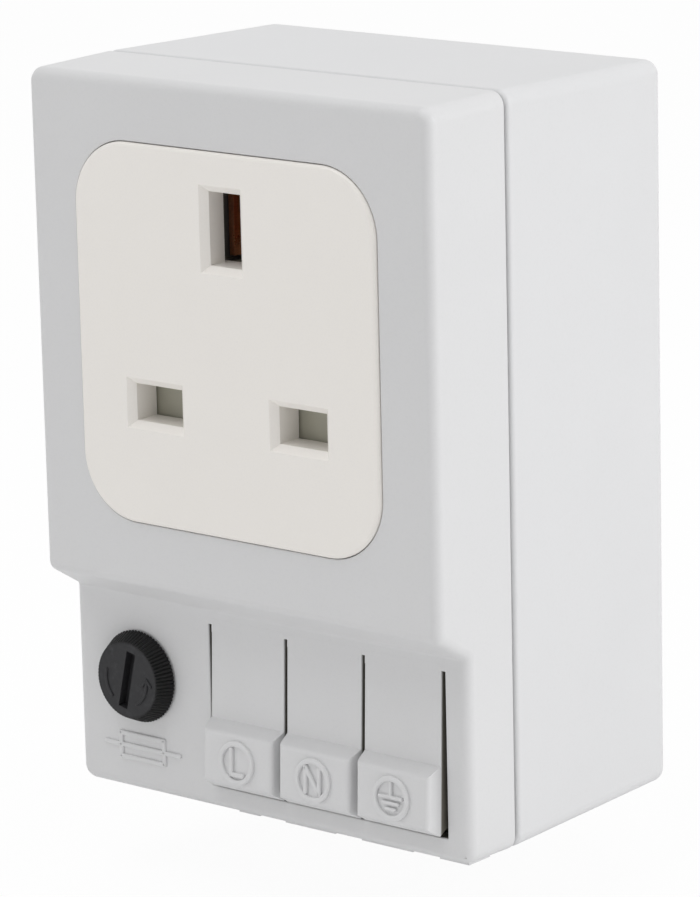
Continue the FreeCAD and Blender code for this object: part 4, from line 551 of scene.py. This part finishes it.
def add_cap_marks():
    """A plain arc and a turning arrow beside the cap's slot."""
    width, depth = 0.4, 0.16
    arrow_tip = (3.15, 0.55)
    strokes = [
        arc(3.35, 165, 222),
        arc(3.2, -62, 10),
        [(2.5, -0.35), arrow_tip],
        [(3.85, -0.25), arrow_tip],
    ]
    place = Matrix.Translation(CAP_FACE)
    raised_mark("cap_mark", strokes, width, depth, place, CAP, "fuse_cap")


# Hinge strips

# Half the height over which a strip bends, and its rows' heights from the hinge
BEND_REACH = 0.45
STRIP_ROWS = [0.7, BEND_REACH, 0.2, 0.0, -0.2, -BEND_REACH, -0.7, -0.95]
STRIP_PROUD = 0.012
STRIP_THICKNESS = 0.3
STRIP_SIDE_GAP = 0.02


def add_hinge_strip(pole):
    """The thin bending strip that joins a button's tongue to the panel above it."""
    hinge = HINGES[pole]
    half = BUTTON_HALF_WIDTH - STRIP_SIDE_GAP
    front = TONGUE_FACE - STRIP_PROUD
    back = TONGUE_FACE + STRIP_THICKNESS
    mesh = bmesh.new()
    loops = []
    for z in STRIP_ROWS:
        share = min(1.0, max(0.0, (BEND_REACH - z) / (2 * BEND_REACH)))
        turn = Matrix.Rotation(BUTTON_TILT * share, 3, "X")
        corners = ((-half, front), (half, front), (half, back), (-half, back))
        loops.append([mesh.verts.new(turn @ Vector((x, y, z)) * MM + hinge) for x, y in corners])
    for upper, lower in zip(loops, loops[1:]):
        for index in range(len(upper)):
            following = (index + 1) % len(upper)
            mesh.faces.new((upper[index], upper[following], lower[following], lower[index]))
    mesh.faces.new(loops[0][::-1])
    mesh.faces.new(loops[-1])
    strip = new_piece(f"{pole}_hinge_strip", mesh, BUTTON)
    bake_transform(strip)


# Springs

UPRIGHT = (0, 0, 1)
INWARD = (0, 1, 0)
# Each spring's joint, the axis that it gives along, its fixed end in millimetres and the share
# of its length that is left at the joint's limit
FLEXING = {
    "shutter_spring": ("pin_shutter_slide", UPRIGHT, (0, 0, -7.28), 0.44),
    "latch_spring": ("rail_latch_slide", UPRIGHT, (0, 0, -31.45), 0.678),
    "live_clamp_spring": ("live_button_press", INWARD, (0, -24.95, 0), 0.81),
    "neutral_clamp_spring": ("neutral_button_press", INWARD, (0, -24.95, 0), 0.81),
    "earth_clamp_spring": ("earth_button_press", INWARD, (0, -24.95, 0), 0.81),
}


def add_flexing_springs():
    """Copies of the springs that ride on the housing, each in the place of its CAD node, which is hidden."""
    for node, (joint, axis, fixed_end, keep) in FLEXING.items():
        spring = bpy.data.objects.new(f"flexing_{node}", frame["nodes"][node].data.copy())
        bpy.context.scene.collection.objects.link(spring)
        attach(spring, "housing")
        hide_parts(node)
        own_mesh(spring)


# Stage

FLOOR_Z = -56.0
FLOOR_SIZE = 8.0
# How much of the floor's own white the camera sees, the rest being paper with its shadow
WHITE_SHARE = 0.95
SKY = 0.47


def add_floor():
    """A white floor that keeps a faint shadow."""
    bpy.ops.mesh.primitive_plane_add(size=FLOOR_SIZE, location=(0, 0, FLOOR_Z * MM))
    floor = bpy.context.object
    floor.name = "floor"
    material = bpy.data.materials.new("floor paper")
    material.use_nodes = True
    tree = material.node_tree
    paper = tree.nodes["Principled BSDF"]
    paper.inputs["Base Color"].default_value = (*grey(0.97), 1.0)
    paper.inputs["Roughness"].default_value = 0.9
    paper.inputs["Specular IOR Level"].default_value = 0.1
    glow = tree.nodes.new("ShaderNodeEmission")
    glow.inputs["Color"].default_value = (*WHITE, 1.0)
    glow.inputs["Strength"].default_value = 1.0
    rays = tree.nodes.new("ShaderNodeLightPath")
    seen = calculated(tree, "MULTIPLY", rays.outputs["Is Camera Ray"], WHITE_SHARE)
    mix = tree.nodes.new("ShaderNodeMixShader")
    for index, source in enumerate((seen, paper.outputs[0], glow.outputs[0])):
        tree.links.new(source, mix.inputs[index])
    tree.links.new(mix.outputs[0], tree.nodes["Material Output"].inputs["Surface"])
    floor.data.materials.append(material)


def add_world():
    """An even grey sky that the camera, reflections and glass see as white."""
    world = bpy.data.worlds.new("studio")
    bpy.context.scene.world = world
    world.use_nodes = True
    tree = world.node_tree
    background = tree.nodes["Background"]
    rays = tree.nodes.new("ShaderNodeLightPath")
    sees_white = rays.outputs["Is Camera Ray"]
    for name in ("Is Glossy Ray", "Is Transmission Ray"):
        sees_white = calculated(tree, "MAXIMUM", sees_white, rays.outputs[name])
    strength = mapped(tree, sees_white, (0.0, 1.0), (SKY, 1.0))
    tree.links.new(strength, background.inputs["Strength"])
    background.inputs["Color"].default_value = (*WHITE, 1.0)


# Lamps

# Each lamp's name, place and size in metres, and power in watts
LAMPS = [
    ("key softbox", (1.0, 0.30, 0.25), (0.8, 0.8), 5.9),
    ("top softbox", (-0.1, -0.25, 1.0), (0.9, 0.9), 4.9),
    ("low softbox", (-0.45, -0.65, -0.01), (0.5, 0.08), 0.32),
]


def add_lamps():
    """Large soft lamps that face the object."""
    for name, place, size, power in LAMPS:
        lamp = bpy.data.lights.new(name, "AREA")
        lamp.shape = "RECTANGLE"
        lamp.size, lamp.size_y = size
        lamp.energy = power
        item = bpy.data.objects.new(name, lamp)
        item.location = place
        item.rotation_euler = (-Vector(place)).to_track_quat("-Z", "Y").to_euler()
        bpy.context.scene.collection.objects.link(item)


# Camera

# The photograph's camera, fitted to its edges: angles in degrees, the point that it faces, its
# distance and its shifts across and upward in millimetres, and its lens
CAMERA_AZIMUTH = 39.66
CAMERA_ELEVATION = 13.43
CAMERA_ROLL = -1.36
CAMERA_TARGET = (0.0, -34.9, -0.1)
CAMERA_DISTANCE = 550.65
CAMERA_ACROSS = 7.56
CAMERA_UPWARD = 0.24
CAMERA_LENS = 185.92
SENSOR_WIDTH = 36.0


def add_camera():
    """The photograph's view: its direction, distance, small roll and long lens."""
    azimuth = math.radians(CAMERA_AZIMUTH)
    elevation = math.radians(CAMERA_ELEVATION)
    roll = math.radians(CAMERA_ROLL)
    back = Vector(
        (
            math.sin(azimuth) * math.cos(elevation),
            -math.cos(azimuth) * math.cos(elevation),
            math.sin(elevation),
        )
    )
    right = Vector((0, 0, 1)).cross(back).normalized()
    up = back.cross(right)
    across = right * math.cos(roll) + up * math.sin(roll)
    upward = up * math.cos(roll) - right * math.sin(roll)
    shift = across * CAMERA_ACROSS + upward * CAMERA_UPWARD
    place = Vector(CAMERA_TARGET) + back * CAMERA_DISTANCE + shift
    camera = bpy.data.cameras.new("camera")
    camera.lens = CAMERA_LENS
    camera.sensor_width = SENSOR_WIDTH
    camera.clip_start = 0.01
    item = bpy.data.objects.new("camera", camera)
    turn = Matrix((across, upward, back)).transposed().to_4x4()
    item.matrix_world = Matrix.Translation(place * MM) @ turn
    bpy.context.scene.collection.objects.link(item)
    bpy.context.scene.camera = item


dress_frame()
add_button_marks()
add_fuse_mark()
add_cap_marks()
for pole_name in POLES:
    add_hinge_strip(pole_name)
add_flexing_springs()
add_floor()
add_world()
add_lamps()
add_camera()
bpy.context.scene.view_settings.view_transform = "Standard"
